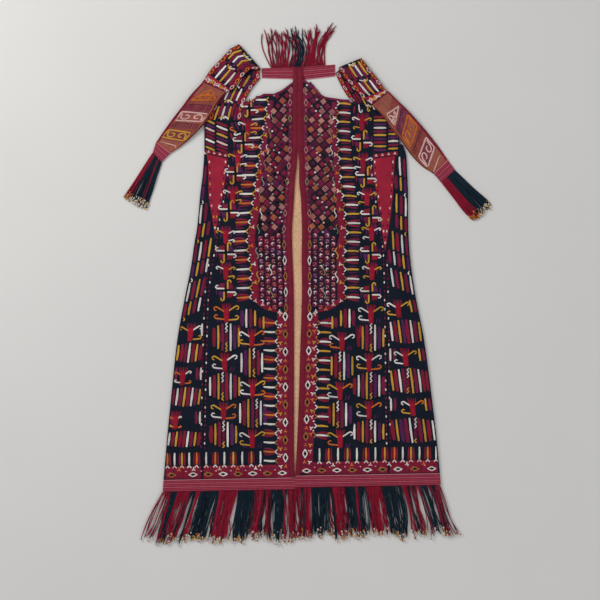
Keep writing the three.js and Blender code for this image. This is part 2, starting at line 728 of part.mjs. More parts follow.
// The fringe on a cuff fans out from the cuff's end.
function cuffFringe(side) {
  const { tips } = SLEEVES[side];
  const end = forwardAt(side)(SLEEVES[side].forward.length - 1);
  const [a, b] = [end.outer.setZ(0), end.inner.setZ(0)];
  const ahead = tips.outer.clone().lerp(tips.inner, 0.5).sub(a.clone().lerp(b, 0.5)).normalize();
  const along = b.clone().sub(a).normalize();
  const square = vec(along.y, -along.x).multiplyScalar(Math.sign(along.y * ahead.x - along.x * ahead.y));
  const edge = (share) => {
    const place = lerp(CUFF_LOCKS.inset, a.distanceTo(b) - CUFF_LOCKS.inset, share);
    return a.clone().addScaledVector(along, place).addScaledVector(square, SEAM / 2);
  };
  const size = FRINGE.cuff;
  const geometries = [strip([edge(0), edge(0.5), edge(1)], square)];
  for (let k = 0; k < size.locks; k++) {
    const share = (k + 0.5) / size.locks;
    const rootPoint = edge(share).addScaledVector(square, FRINGE_STRIP.width / 2);
    rootPoint.z = FRINGE_STRIP.height / 2;
    const tip = tips.outer.clone().lerp(tips.inner, share);
    const toTip = tip.clone().sub(rootPoint).setZ(0).normalize();
    tip.addScaledVector(toTip, size.uneven * uneven(k)).setZ(size.tipZ);
    const straight = CUFF_LOCKS.straight * rootPoint.distanceTo(tip);
    const bend = rootPoint.clone().addScaledVector(square, straight);
    geometries.push(lock(rootPoint, bend.setZ(size.bendZ), tip, size));
  }
  add(`cuff_fringe_${side}`, fused(geometries), "fringeRed", 0.6);
}

// The fringe over the neck band stands up from the band's upper edge.
function neckFringe() {
  const { left, right, spreadLeft, spreadRight } = NECK_FRINGE;
  const bandTop = (x) => {
    const { x: end, top, middleTop } = x < 0 ? BAND.left : BAND.right;
    return lerp(middleTop, top, x / end);
  };
  const edge = (x) => vec(x, bandTop(x) + SEAM, 0);
  const size = FRINGE.neck;
  const stripPoints = [left, 0, right].map(edge);
  const geometries = [strip(stripPoints, vec(0, 1))];
  for (let k = 0; k < size.locks; k++) {
    const share = (k + 0.5) / size.locks;
    const rootPoint = edge(lerp(left, right, share));
    rootPoint.add(vec(0, FRINGE_STRIP.width / 2, FRINGE_STRIP.height / 2));
    const lean = lerp(-spreadLeft, spreadRight, share);
    const bow = NECK_FRINGE.bow * Math.sin(5 * share + 2.6);
    const length = size.length + size.uneven * uneven(k);
    const tip = rootPoint.clone().add(vec(lean, length)).setZ(size.tipZ);
    const bend = rootPoint.clone().lerp(tip, 0.5).add(vec(bow)).setZ(size.bendZ);
    geometries.push(lock(rootPoint, bend, tip, size));
  }
  add("neck_fringe", fused(geometries), "fringeRed", 0.6);
}

// ---- The robe ----
back();
for (const side of ["left", "right"]) {
  front(side);
  edgeBinding(side);
  shoulderPatch(side);
  gusset(side);
  sidePanel(side);
  hemTape(side);
  sleeve(side);
  neckBand(side);
  cuffFringe(side);
}
backTape();
hemFringes();
neckFringe();

export default root;
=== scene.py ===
"""An embroidered mantle robe, laid flat: its cloth, embroidery, trims and fringes."""
import bisect
import math
import random
from itertools import accumulate, pairwise, product

import bpy
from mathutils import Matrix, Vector


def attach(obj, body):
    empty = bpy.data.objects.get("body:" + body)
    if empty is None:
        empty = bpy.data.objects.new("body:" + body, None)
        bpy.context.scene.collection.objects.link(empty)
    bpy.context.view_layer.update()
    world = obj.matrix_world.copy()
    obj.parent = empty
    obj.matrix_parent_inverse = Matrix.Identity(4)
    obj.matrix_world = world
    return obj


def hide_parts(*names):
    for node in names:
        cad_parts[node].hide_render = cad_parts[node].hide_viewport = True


bl_info = {
    "name": "Embroidered Mantle Robe",
    "version": (1, 0, 0),
    "blender": (4, 5, 0),
    "location": "View3D > Sidebar > Robe",
    "description": "Builds the cloth, embroidery, trims and fringes of a robe that lies flat",
    "category": "Object",
}

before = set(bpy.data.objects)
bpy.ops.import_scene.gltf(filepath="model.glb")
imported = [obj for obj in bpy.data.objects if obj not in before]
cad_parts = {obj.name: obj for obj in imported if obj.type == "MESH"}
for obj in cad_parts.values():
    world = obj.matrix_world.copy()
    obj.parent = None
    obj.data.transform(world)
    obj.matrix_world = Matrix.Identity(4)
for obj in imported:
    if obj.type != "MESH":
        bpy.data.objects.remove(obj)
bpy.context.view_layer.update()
MM = 0.001
SIDE_NAMES = ("left", "right")


# ---- The robe's cut, in millimetres ----
def table(columns, *rows):
    """Rows with named columns."""
    names = columns.split()
    return [dict(zip(names, row)) for row in rows]


SEAM = 0.3
SOLID_WALL = 2.0
TAPE = 31
BACK_TAPE = 28
BINDING = 14
FRONT_UNDER = 3.9
FOLD_ROLL = 1.5
ROLL_WIDTH = 26
STRIP = 6  # spans across a tape or a binding
SIDES = {
    "left": table(
        "y fold gore front",
        (456, -262, -262, -188), (367, -263, -262, -196.2), (366, -263, -255, -196.3),
        (315, -266, -251, -201), (250, -274, -250, -210), (200, -278, -242, -221),
        (155, -283, -235, -229), (128, -288, -232, -232), (48, -300, -246, -246),
        (-42, -318, -256, -256), (-155, -338, -260, -260), (-322, -356, -264, -264),
        (-434, -367, -266, -266), (-576, -379, -268, -268),
    ),
    "right": table(
        "y fold gore front",
        (456, 278, 278, 206), (395, 292, 284, 208.4), (361, 303, 272, 209.7), (304, 306, 268, 212),
        (250, 308, 265, 220), (200, 308, 260, 228), (150, 309, 253, 235), (84, 313, 244, 244),
        (-20, 327, 247, 247), (-155, 353, 249, 249), (-322, 375, 251, 251), (-434, 388, 253, 253),
        (-576, 401, 254, 254),
    ),
}
OPENING = table(
    "y left right",
    (380, 0, 0), (336, -3, 3), (294, -8, 3), (238, -11, 8), (140, -17, 11), (70, -15, 10),
    (-6, -12, 11), (-182, -11, 6), (-322, -11, 2), (-462, -11, -4), (-546, -8.5, -8.5),
)
NECKLINE = {
    "left": table(
        "x y",
        (-188, 458), (-172, 458), (-157, 458), (-151, 505), (-143, 510), (-118, 524), (-95, 535),
        (-67, 535), (-45, 545), (-BINDING, 568), (0, 572),
    ),
    "right": table(
        "x y",
        (206, 488), (178, 500), (151, 511), (132, 518), (111, 521), (90, 524), (75, 527), (60, 535),
        (42, 557), (BINDING, 577), (0, 577),
    ),
}
PATCH = {
    "left": {"inner_top": 458, "outer_top": 458, "inner_foot": 352.5, "outer_foot": 366},
    "right": {"inner_top": 488, "outer_top": 459, "inner_foot": 353, "outer_foot": 361},
}
GUSSET_POINT = {"left": 134, "right": 92}
SIDE_TOP = {"left": 366, "right": 394}
BACK_SEAM = {"left": (-240, -268), "right": (240, 254)}
HEM = {
    "left": {"y": -541.5, "side": -3.5, "middle": 3.5},
    "right": {"y": -529.5, "side": 3.5, "middle": -3.5},
}
HEM_TILT_FROM = -100
SLEEVE_HEIGHTS = {"shoulder": 5.9, "plain": 4.4, "cuff": 4.8, "fold_gap": 3.2}
SLEEVES = {
    "left": {
        "riser": table(
            "ox oy ix iy",
            (-254, 458.6, -158.6, 458.6), (-235, 505, -152.6, 502), (-213, 560, -133, 543),
            (-189, 622, -107, 577),
        ),
        "fold": ((-165, 674), (-103, 604)),
        "forward": table(
            "ox oy ix iy under",
            (-190, 660, -133, 602, 7.6), (-216, 631, -153, 582, 7.6), (-244, 602, -178, 549, 7.6),
            (-267, 567, -200, 537, 7.6), (-298, 533, -220, 515, 7.5), (-322, 501, -241, 479, 7.2),
            (-350, 465, -263, 448, 6.6), (-378, 427, -302, 409, 2.6), (-393, 405, -330, 386, 0.4),
            (-397, 400, -356, 369, 0), (-406, 372, -381, 344, 0),
        ),
        "tips": ((-482, 249), (-417, 213)),
    },
    "right": {
        "riser": table(
            "ox oy ix iy",
            (256, 469.4, 152.4, 513.2), (247, 508, 137, 530), (226, 556, 119, 561),
            (203, 596, 104.6, 592),
        ),
        "fold": ((178, 635), (114, 609)),
        "forward": table(
            "ox oy ix iy under",
            (206, 596, 129, 579, 7.6), (223, 576, 148, 558, 7.6), (241, 550, 176, 527, 7.6),
            (254, 540, 207, 502, 7.6), (279, 515, 241, 467, 7.6), (300, 495, 258, 440, 7.4),
            (330, 463, 282, 411, 6.9), (368, 419, 314, 366, 3.2), (397, 382, 347, 332, 0.4),
            (419, 350, 379, 311, 0), (439, 323, 400, 287, 0),
        ),
        "tips": ((540, 224), (484, 179)),
    },
}
PANEL_ROW = 3
CUFF_ROW = 9
BAND = {
    "left": {"x": -101, "top": 607, "foot": 579, "middle_top": 609, "middle_foot": 576},
    "right": {"x": 103.5, "top": 617, "foot": 584, "middle_top": 609, "middle_foot": 572},
}

# Soft ridges and troughs in the upper layer, each along a line from its first point to its second.
CREASES = table(
    "x0 y0 x1 y1 width rise",
    (-206, 330, -150, 110, 26, 2.2), (-262, 60, -312, -500, 24, 2.6), (-150, -90, -176, -520, 24, 3.4),
    (-64, -190, -82, -535, 20, 2.4), (-110, 260, -96, 20, 26, 1.8), (-120, -210, -118, -500, 15, -1.7),
    (-214, -170, -236, -520, 16, -1.6), (-60, 430, -84, 250, 16, 1.9), (-36, 300, -44, 60, 12, -1.2),
    (-170, 250, -212, 20, 13, -1.5), (-330, -330, -352, -520, 12, 1.5), (226, 330, 164, 100, 25, 2.3),
    (268, 30, 326, -470, 24, 2.7), (132, -110, 172, -515, 24, 3.5), (58, -170, 74, -500, 19, 2.3),
    (104, 240, 90, 0, 25, 1.7), (96, -230, 104, -480, 14, -1.7), (208, -150, 232, -500, 16, -1.6),
    (62, 440, 84, 270, 16, 1.9), (36, 260, 42, 30, 12, -1.2), (190, 230, 216, 0, 13, -1.5),
    (344, -350, 368, -510, 12, 1.5), (-240, -430, -150, -380, 15, 1.0),
    (120, -250, 235, -215, 15, 0.9), (-180, -260, -90, -235, 13, 0.8),
)
MOST_CREASE = 6.5


def outward(side):
    return -1 if side == "left" else 1


def mix(a, b, share):
    return a + (b - a) * share


def clamp(value, low=0.0, high=1.0):
    return max(low, min(high, value))


def smoothstep(value, low, high):
    share = clamp((value - low) / (high - low))
    return share * share * (3 - 2 * share)


class Profile:
    """A value that changes smoothly with its place, through a table's rows, and never overshoots."""

    def __init__(self, pairs):
        pairs = sorted(pairs)
        self.places = [place for place, _ in pairs]
        self.values = [value for _, value in pairs]
        rises = [
            (self.values[k + 1] - self.values[k]) / (self.places[k + 1] - self.places[k])
            for k in range(len(pairs) - 1)
        ]
        self.slopes = [rises[0]]
        for a, b in zip(rises, rises[1:]):
            self.slopes.append(0.0 if a * b <= 0 else 2 * a * b / (a + b))
        self.slopes.append(rises[-1])

    def __call__(self, place):
        place = clamp(place, self.places[0], self.places[-1])
        k = min(bisect.bisect_right(self.places, place), len(self.places) - 1) - 1
        step = self.places[k + 1] - self.places[k]
        t = (place - self.places[k]) / step
        a, b = self.values[k], self.values[k + 1]
        ma, mb = self.slopes[k] * step, self.slopes[k + 1] * step
        return (
            (2 * t**3 - 3 * t**2 + 1) * a
            + (t**3 - 2 * t**2 + t) * ma
            + (3 * t**2 - 2 * t**3) * b
            + (t**3 - t**2) * mb
        )


FOLD, GORE, FRONT, EDGE = {}, {}, {}, {}
for _side in SIDE_NAMES:
    FOLD[_side] = Profile((row["y"], row["fold"]) for row in SIDES[_side])
    GORE[_side] = Profile((row["y"], row["gore"]) for row in SIDES[_side])
    FRONT[_side] = Profile((row["y"], row["front"]) for row in SIDES[_side])
    EDGE[_side] = Profile((row["y"], row[_side]) for row in OPENING)


def fold_x(side, y):
    return FOLD[side](y)


def gore_x(side, y):
    return GORE[side](y) - outward(side) * SEAM / 2


def front_x(side, y):
    return FRONT[side](y) - outward(side) * SEAM / 2


def edge_x(side, y):
    return EDGE[side](y) + outward(side) * SEAM / 2


def back_seam_x(side, y):
    top, foot = BACK_SEAM[side]
    share = clamp((SIDE_TOP["right"] - y) / (SIDE_TOP["right"] - HEM["left"]["y"]))
    return mix(top, foot, share)


def body_foot(side):
    return HEM[side]["y"] + SEAM / 2


def hem_tilt(side, x, y):
    """How far a point of the lower robe moves up or down, so that each half's hem slants."""
    out = abs(x / fold_x(side, y))
    fall = smoothstep(HEM_TILT_FROM - y, 0, HEM_TILT_FROM - HEM[side]["y"])
    return mix(HEM[side]["middle"], HEM[side]["side"], out) * fall


def crease_height(x, y):
    total = 0.0
    for row in CREASES:
        ax, ay = row["x1"] - row["x0"], row["y1"] - row["y0"]
        length = ax * ax + ay * ay
        along = clamp(((x - row["x0"]) * ax + (y - row["y0"]) * ay) / length)
        dx, dy = x - row["x0"] - along * ax, y - row["y0"] - along * ay
        near = (dx * dx + dy * dy) / row["width"] ** 2
        if near < 8:
            total += row["rise"] * math.exp(-near)
    return total


def front_top(side, x, y):
    """Height of the upper layer's outer face."""
    roll = FOLD_ROLL * math.exp(-(((x - fold_x(side, y)) / ROLL_WIDTH) ** 2))
    rise = MOST_CREASE * math.tanh((roll + crease_height(x, y)) / MOST_CREASE)
    rise += 0.35 * math.sin(x / 17 + 1.3 * math.sin(y / 47)) * math.sin(y / 29 + x / 53)
    covered = smoothstep(abs(x), 120, 175) * smoothstep(y, 300, 375)
    neck = smoothstep(y, 470, 530)
    return FRONT_UNDER + SOLID_WALL + rise * (1 - max(covered, neck))


def front_point(side, x, y):
    return Vector((x, y + hem_tilt(side, x, y), front_top(side, x, y)))


def side_of(x):
    return "left" if x < 0 else "right"


def body_surface(x, y, lift):
    """A point over the upper layer, at a place in its plane."""
    return Vector((x, y, front_top(side_of(x), x, y) + lift))


# ---- Colours ----
def paint(code):
    """A linear colour from a screen colour's hex code."""
    parts = [int(code[k : k + 2], 16) / 255 for k in (1, 3, 5)]
    return tuple(p / 12.92 if p <= 0.04045 else ((p + 0.055) / 1.055) ** 2.4 for p in parts)


SILKS = {
    name: paint(code)
    for name, code in {
        "night": "#080c13", "crimson": "#a8142e", "red": "#8e1733", "maroon": "#80193e",
        "wine": "#521230", "purple": "#5e1f56", "cream": "#f2e9de", "gold": "#d9a236",
        "orange": "#dd7428", "copper": "#b8643c", "dusty": "#bd7c78", "salmon": "#a8604e",
        "rose": "#7a3448", "rust": "#93483a", "pink": "#ecbdb4", "olive": "#8f8a5c",
        "sage": "#98a08c", "umber": "#b0743e", "fringe red": "#981230", "fringe blue": "#0f2532",
        "knot gold": "#d29a40", "knot cream": "#e4d8c6", "knot rust": "#b45a2c",
    }.items()
}


def measure(title, text, size):
    """A length property, from its size in millimetres."""
    return bpy.props.FloatProperty(name=title, description=text, default=size * MM, unit="LENGTH")


def tint(title, text, code):
    """A colour property, from its screen colour."""
    shade = paint(code)
    return bpy.props.FloatVectorProperty(name=title, description=text, subtype="COLOR", default=shade)


class RobeSizes(bpy.types.PropertyGroup):
    """Sizes that change how fine the robe's cloth and threads are."""

    cloth: measure("Cloth", "Thickness of the lined silk", 1.2)
    mesh_step: measure("Mesh Step", "Grid spacing of the sheets", 8)
    stitch_step: measure("Stitch Step", "Spacing of the points along a line of stitches", 7)
    thread: measure("Fringe Thread", "Radius of a fringe thread", 1.25)
    threads_per_lock: bpy.props.IntProperty(
        name="Threads per Lock", description="Fringe threads in each lock", default=5, min=1, max=8
    )


class RobeColours(bpy.types.PropertyGroup):
    """Colours of the cloths that aren't embroidered over."""

    ground: tint("Ground", "Blue-black silk", "#0b1322")
    gusset: tint("Gusset", "Plain crimson silk", "#9a1c34")
    lining: tint("Lining", "Printed cotton", "#e0b48e")
    tape: tint("Tape", "Woven tape", "#a43a4e")
    binding: tint("Binding", "Silk edge binding", "#74152a")
    sleeve: tint("Sleeve", "Salmon sleeve silk", "#94493f")
    floor: tint("Floor", "Studio floor", "#dedbd5")


def sizes():
    return bpy.context.scene.robe_sizes


def colours():
    return bpy.context.scene.robe_colours


# ---- Materials ----
class Nodes:
    """A node tree that is built by short calls."""

    def __init__(self, tree):
        self.tree = tree

    def add(self, kind, **settings):
        node = self.tree.nodes.new(kind)
        for name, value in settings.items():
            setattr(node, name, value)
        return node

    def feed(self, socket, value):
        """Links another socket to this one, or sets this one to a number or a colour."""
        if isinstance(value, bpy.types.NodeSocket):
            self.tree.links.new(value, socket)
        elif isinstance(value, (int, float)):
            socket.default_value = value
        else:
            socket.default_value = (*value, 1)

    def math(self, operation, *values, clamp_it=False):
        node = self.add("ShaderNodeMath", operation=operation, use_clamp=clamp_it)
        for socket, value in zip(node.inputs, values):
            self.feed(socket, value)
        return node.outputs[0]

    def blend(self, share, a, b, kind="MIX"):
        node = self.add("ShaderNodeMix", data_type="RGBA", blend_type=kind)
        for k, value in ((0, share), (6, a), (7, b)):
            self.feed(node.inputs[k], value)
        return node.outputs[2]

    def noise(self, vector, scale, detail=3.0, roughness=0.55):
        node = self.add("ShaderNodeTexNoise")
        for title, value in (
            ("Vector", vector), ("Scale", scale), ("Detail", detail), ("Roughness", roughness)
        ):
            self.feed(node.inputs[title], value)
        return node.outputs["Fac"]

    def split(self, vector):
        node = self.add("ShaderNodeSeparateXYZ")
        self.feed(node.inputs[0], vector)
        return node.outputs

    def places(self, name):
        """The coordinates that one of a mesh's own maps gives."""
        return self.add("ShaderNodeUVMap", uv_map=name).outputs["UV"]

    def bump(self, shader, height, strength, distance):
        node = self.add("ShaderNodeBump")
        for title, value in (("Strength", strength), ("Distance", distance * MM), ("Height", height)):
            self.feed(node.inputs[title], value)
        self.feed(shader.inputs["Normal"], node.outputs["Normal"])


def new_group(name, values, outputs):
    """A shader node group that takes a vector and named values, and puts out named values."""
    tree = bpy.data.node_groups.new(name, "ShaderNodeTree")
    tree.interface.new_socket(name="Vector", in_out="INPUT", socket_type="NodeSocketVector")
    for title, value in values.items():
        socket = tree.interface.new_socket(name=title, in_out="INPUT", socket_type="NodeSocketFloat")
        socket.default_value = value
    for title in outputs:
        tree.interface.new_socket(name=title, in_out="OUTPUT", socket_type="NodeSocketFloat")
    nodes = Nodes(tree)
    return nodes, nodes.add("NodeGroupInput").outputs, nodes.add("NodeGroupOutput").inputs


def weave_group(name):
    """A plain weave over a cut's own coordinates: thread height, and a mottled shade."""
    values = {"Threads per Metre": 900.0, "Mottle Scale": 30.0}
    nodes, given, out = new_group(name, values, ("Height", "Mottle"))
    places = nodes.split(given["Vector"])
    turns = nodes.math("MULTIPLY", given["Threads per Metre"], math.pi)
    x, y = (
        nodes.math("ABSOLUTE", nodes.math("SINE", nodes.math("MULTIPLY", places[axis], turns)))
        for axis in "XY"
    )
    nodes.feed(out["Height"], nodes.math("MAXIMUM", x, nodes.math("SUBTRACT", 1.0, y)))
    nodes.feed(out["Mottle"], nodes.noise(given["Vector"], given["Mottle Scale"], 5.0, 0.5))
    return nodes.tree


def stitch_group(name):
    """Rows of looped stitches: x runs along the line, y from one edge of it to the other."""
    values = {"Stitches per Metre": 500.0, "Slant": 1.0}
    nodes, given, out = new_group(name, values, ("Height", "Gap Shade"))
    places = nodes.split(given["Vector"])
    across = nodes.math("ABSOLUTE", places["Y"])
    slanted = nodes.math("MULTIPLY_ADD", across, given["Slant"], places["X"])
    turns = nodes.math("MULTIPLY", given["Stitches per Metre"], math.tau)
    wave = nodes.math("SINE", nodes.math("MULTIPLY", slanted, turns))
    height = nodes.math("MULTIPLY_ADD", wave, 0.5, 0.5)
    nodes.feed(out["Height"], height)
    # The low part between loops, which the floss material darkens as painted shade.
    nodes.feed(out["Gap Shade"], nodes.math("POWER", nodes.math("SUBTRACT", 1.0, height), 3.0))
    return nodes.tree


def use_group(nodes, name, vector, **values):
    """The outputs of the shared group of that name, which is made the first time it is used."""
    makers = {"Plain Weave": weave_group, "Looped Stitch": stitch_group}
    tree = bpy.data.node_groups.get(name) or makers[name](name)
    node = nodes.add("ShaderNodeGroup", node_tree=tree)
    nodes.feed(node.inputs["Vector"], vector)
    for title, value in values.items():
        nodes.feed(node.inputs[title.replace("_", " ")], value)
    return node.outputs


def new_material(name, roughness, sheen=0.0):
    """A material with its shader, ready for what feeds it."""
    material = bpy.data.materials.new(name)
    material.use_nodes = True
    shader = material.node_tree.nodes["Principled BSDF"]
    values = {"Roughness": roughness, "Sheen Weight": sheen, "Sheen Roughness": 0.45}
    for title, value in {**values, "Specular IOR Level": 0.1}.items():
        shader.inputs[title].default_value = value
    return material, Nodes(material.node_tree), shader


def lit(colour, share, lift=0.0):
    """A colour made lighter or darker."""
    return [min(1, c * share + lift) for c in colour]


def silk(name, colour, roughness=0.5, sheen=0.04, depth=0.35, threads=900.0):
    """Plain-woven silk, mottled with age, with lighter worn threads."""
    material, nodes, shader = new_material(name, roughness, sheen)
    cut = nodes.places("cut")
    weave = use_group(nodes, "Plain Weave", cut, Threads_per_Metre=threads)
    base = nodes.blend(weave["Mottle"], lit(colour, 0.62), lit(colour, 1.35, 0.004))
    slubs = nodes.math("GREATER_THAN", nodes.noise(cut, 260.0, 2.0), 0.66)
    worn = nodes.blend(nodes.math("MULTIPLY", slubs, 0.35), base, lit(colour, 1.9, 0.01))
    nodes.feed(shader.inputs["Base Color"], worn)
    rough = nodes.math("MULTIPLY_ADD", weave["Mottle"], 0.25, roughness - 0.12)
    nodes.feed(shader.inputs["Roughness"], rough)
    nodes.bump(shader, weave["Height"], depth, 0.35)
    return material


def printed_cotton(name, colour):
    """Peach cotton with flecks along its threads and scattered dark dots."""
    material, nodes, shader = new_material(name, 0.85, 0.05)
    cut = nodes.places("cut")
    weave = use_group(nodes, "Plain Weave", cut, Threads_per_Metre=700.0, Mottle_Scale=14.0)
    stretch = nodes.add("ShaderNodeMapping")
    stretch.inputs["Scale"].default_value = (420, 120, 1)
    nodes.feed(stretch.inputs["Vector"], cut)
    fleck = nodes.noise(stretch.outputs[0], 1.0, 4.0, 0.7)
    base = nodes.blend(weave["Mottle"], lit(colour, 0.78), lit(colour, 1.2))
    flecks = nodes.math("SUBTRACT", fleck, 0.47, clamp_it=True)
    flecks = nodes.math("MULTIPLY", flecks, 3.4, clamp_it=True)
    base = nodes.blend(flecks, base, paint("#a8683f"))
    dots = nodes.add("ShaderNodeTexVoronoi", feature="F1")
    for title, value in (("Scale", 24.0), ("Randomness", 0.75), ("Vector", cut)):
        nodes.feed(dots.inputs[title], value)
    spot = nodes.math("LESS_THAN", dots.outputs["Distance"], 0.08)
    nodes.feed(shader.inputs["Base Color"], nodes.blend(spot, base, paint("#5a3226")))
    nodes.bump(shader, weave["Height"], 0.3, 0.3)
    return material


def striped_tape(name, colour):
    """Narrow woven tape: pale selvedges and darker warp stripes, one after another across it."""
    material, nodes, shader = new_material(name, 0.62, 0.05)
    cut = nodes.places("cut")
    ramp = nodes.add("ShaderNodeValToRGB")
    nodes.feed(ramp.inputs["Fac"], nodes.split(nodes.places("band"))["Y"])
    ramp.color_ramp.interpolation = "EASE"
    dark, pale = paint("#701c32"), paint("#c0727a")
    stripes = [(0.0, pale), (0.05, pale)]
    for k in range(6):
        place = 0.1 + 0.16 * k
        stripes += [(place, dark), (place + 0.035, dark)]
        stripes += [(place + 0.07, colour), (place + 0.1, pale if k % 2 else colour), (place + 0.13, colour)]
    elements = ramp.color_ramp.elements
    while len(elements) < len(stripes):
        elements.new(0.5)
    for element, (place, shade) in zip(elements, stripes):
        element.position = place
        element.color = (*shade, 1)
    worn = nodes.blend(nodes.noise(cut, 55.0, 4.0), (0.72, 0.72, 0.72), (1.25, 1.2, 1.2))
    stripes = nodes.blend(1.0, ramp.outputs["Color"], worn, "MULTIPLY")
    nodes.feed(shader.inputs["Base Color"], stripes)
    weave = use_group(nodes, "Plain Weave", cut, Threads_per_Metre=620.0)
    nodes.bump(shader, weave["Height"], 0.5, 0.4)
    return material


def floss(name, roughness=0.46, slant=0.6, depth=0.75):
    """Silk thread in the colours that the stitches carry, with painted shade in the gaps between its loops.
    """
    material, nodes, shader = new_material(name, roughness, 0.03)
    thread = nodes.add("ShaderNodeAttribute", attribute_name="silk").outputs["Color"]
    stitch = use_group(nodes, "Looped Stitch", nodes.places("stitch"), Slant=slant)
    worn = nodes.noise(nodes.add("ShaderNodeTexCoord").outputs["Object"], 130.0)
    shade = nodes.blend(worn, (0.7, 0.7, 0.7), (1.25, 1.25, 1.25))
    base = nodes.blend(1.0, thread, shade, "MULTIPLY")
    # Painted shade: the gaps between stitch loops are blended towards near black.
    gap_shade = nodes.math("MULTIPLY", stitch["Gap Shade"], 0.45)
    nodes.feed(shader.inputs["Base Color"], nodes.blend(gap_shade, base, (0.01, 0.01, 0.014)))
    nodes.bump(shader, stitch["Height"], depth, 0.5)
    return material


def material_of(name):
    """The material of that name, made the first time it is asked for."""
    found = bpy.data.materials.get(name)
    if found:
        return found
    shades = colours()
    makers = {
        "Ground Silk": lambda: silk(name, shades.ground, 0.6, 0.0),
        "Gusset Silk": lambda: silk(name, shades.gusset, 0.45, 0.08),
        "Binding Silk": lambda: silk(name, shades.binding, 0.5, 0.06, 0.5, 600.0),
        "Sleeve Silk": lambda: silk(name, shades.sleeve, 0.5, 0.08),
        "Lining Cotton": lambda: printed_cotton(name, shades.lining),
        "Woven Tape": lambda: striped_tape(name, shades.tape),
        "Embroidery Floss": lambda: floss(name),
        "Fringe Thread": lambda: floss(name, 0.55, 0.35, 0.9),
    }
    return makers[name]()


def only(obj):
    """obj is selected and active, and nothing else is."""
    bpy.ops.object.select_all(action="DESELECT")
    obj.select_set(True)
    bpy.context.view_layer.objects.active = obj


def finish(obj, material, nodes=()):
    """Gives a piece its material and its place on the robe."""
    obj.data.materials.clear()
    obj.data.materials.append(material_of(material))
    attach(obj, "root")
    if nodes:
        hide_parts(*nodes)


def mesh_object(name, points, faces):
    mesh = bpy.data.meshes.new(name)
    mesh.from_pydata([p * MM for p in points], [], faces)
    obj = bpy.data.objects.new(name, mesh)
    bpy.context.scene.collection.objects.link(obj)
    return obj


def write_uv(mesh, name, places):
    layer = mesh.uv_layers.new(name=name)
    flat = []
    for loop in mesh.loops:
        flat.extend(places[loop.vertex_index])
    layer.data.foreach_set("uv", flat)


def running(points):
    """How far along a line of points each one lies."""
    return [0.0, *accumulate((b - a).length for a, b in pairwise(points))]


def cloth(node, grid, ring=False, wrapped=False, thickness=None):
    """A thin sheet over rows of points on its outer face, in millimetres, closed by its thickness.
    A wrapped sheet or a ring faces away from the middle of each row."""
    rows, columns = len(grid), len(grid[0])
    points = [p for row in grid for p in row]
    spans = columns if ring else columns - 1
    faces = []
    for i in range(rows - 1):
        for j in range(spans):
            k = (j + 1) % columns
            faces.append([i * columns + j, i * columns + k, (i + 1) * columns + k, (i + 1) * columns + j])
    facing = 0.0
    for i in range(rows - 1):
        middle = sum(grid[i], Vector()) / columns
        for j in range(0, spans - 1, 3):
            a, b, c = grid[i][j], grid[i][j + 1], grid[i + 1][j]
            away = (a - middle) if (ring or wrapped) else Vector((0, 0, 1))
            facing += (b - a).cross(c - a).dot(away)
    if facing < 0:
        faces = [face[::-1] for face in faces]
    obj = mesh_object(f"{node}_cloth", points, faces)
    across = [running(row) for row in grid]
    along = [running([row[j] for row in grid]) for j in range(columns)]
    width, length = max(row[-1] for row in across), max(column[-1] for column in along)
    if ring:
        width = max(a[-1] + (row[0] - row[-1]).length for a, row in zip(across, grid))
    cut = [(across[i][j] * MM, along[j][i] * MM) for i in range(rows) for j in range(columns)]
    write_uv(obj.data, "cut", cut)
    band = [(across[i][j] * MM, i / (rows - 1)) for i in range(rows) for j in range(columns)]
    write_uv(obj.data, "band", band)
    area = sum(face.area for face in obj.data.polygons)
    only(obj)
    wall = obj.modifiers.new("Cloth", "SOLIDIFY")
    wall.thickness = thickness or sizes().cloth
    wall.offset = -1
    bpy.ops.object.modifier_apply(modifier=wall.name)
    bpy.ops.object.shade_smooth_by_angle(angle=math.radians(50))
    obj["cut"] = [width * MM, length * MM, area]
    return obj


CLOTHS = {
    "silk_ground": "Ground Silk", "silk_gusset": "Gusset Silk", "silk_binding": "Binding Silk",
    "sleeve_salmon": "Sleeve Silk", "printed_lining": "Lining Cotton", "woven_tape": "Woven Tape",
}


def node_of(obj):
    """The CAD node that a sheet stands for."""
    return obj.name.removesuffix("_cloth")


def sheet(obj, slot):
    """Finishes a sheet, and hides the CAD part that it stands for."""
    finish(obj, CLOTHS[slot], [node_of(obj)])


def steps(start, end, spacing):
    """Even places from start to end, about spacing apart."""
    count = max(1, round(abs(end - start) / spacing))
    return [mix(start, end, k / count) for k in range(count + 1)]


def polyline(rows, place):
    """The height of a line through sorted pairs of place and height, at any place along it."""
    k = min(max(bisect.bisect_right(rows, (place, math.inf)), 1), len(rows) - 1)
    (ax, ay), (bx, by) = rows[k - 1], rows[k]
    return mix(ay, by, clamp((place - ax) / (bx - ax)))


def step_mm():
    return sizes().mesh_step / MM


def seam_dip(share, reach):
    """How far a sheet dips at its sewn edges: share is the place across it, reach its half width."""
    near = min(share, 1 - share) * 2 * reach
    return -0.55 * math.exp(-((near / 2.2) ** 2))


def grid_of(rows, columns, point):
    """Rows of points, each from its row's value and its column's."""
    return [[point(row, column) for column in columns] for row in rows]


def shares(knots, spacing):
    """Places through all the knots, with even places between them."""
    return [knots[0]] + [place for a, b in pairwise(knots) for place in steps(a, b, spacing)[1:]]


def across_shares(width):
    """Shares across a sheet, with a close pair at each sewn edge."""
    close = min(0.2, 2.2 / width)
    return [0.0] + shares([close, 1 - close], step_mm() / width) + [1.0]


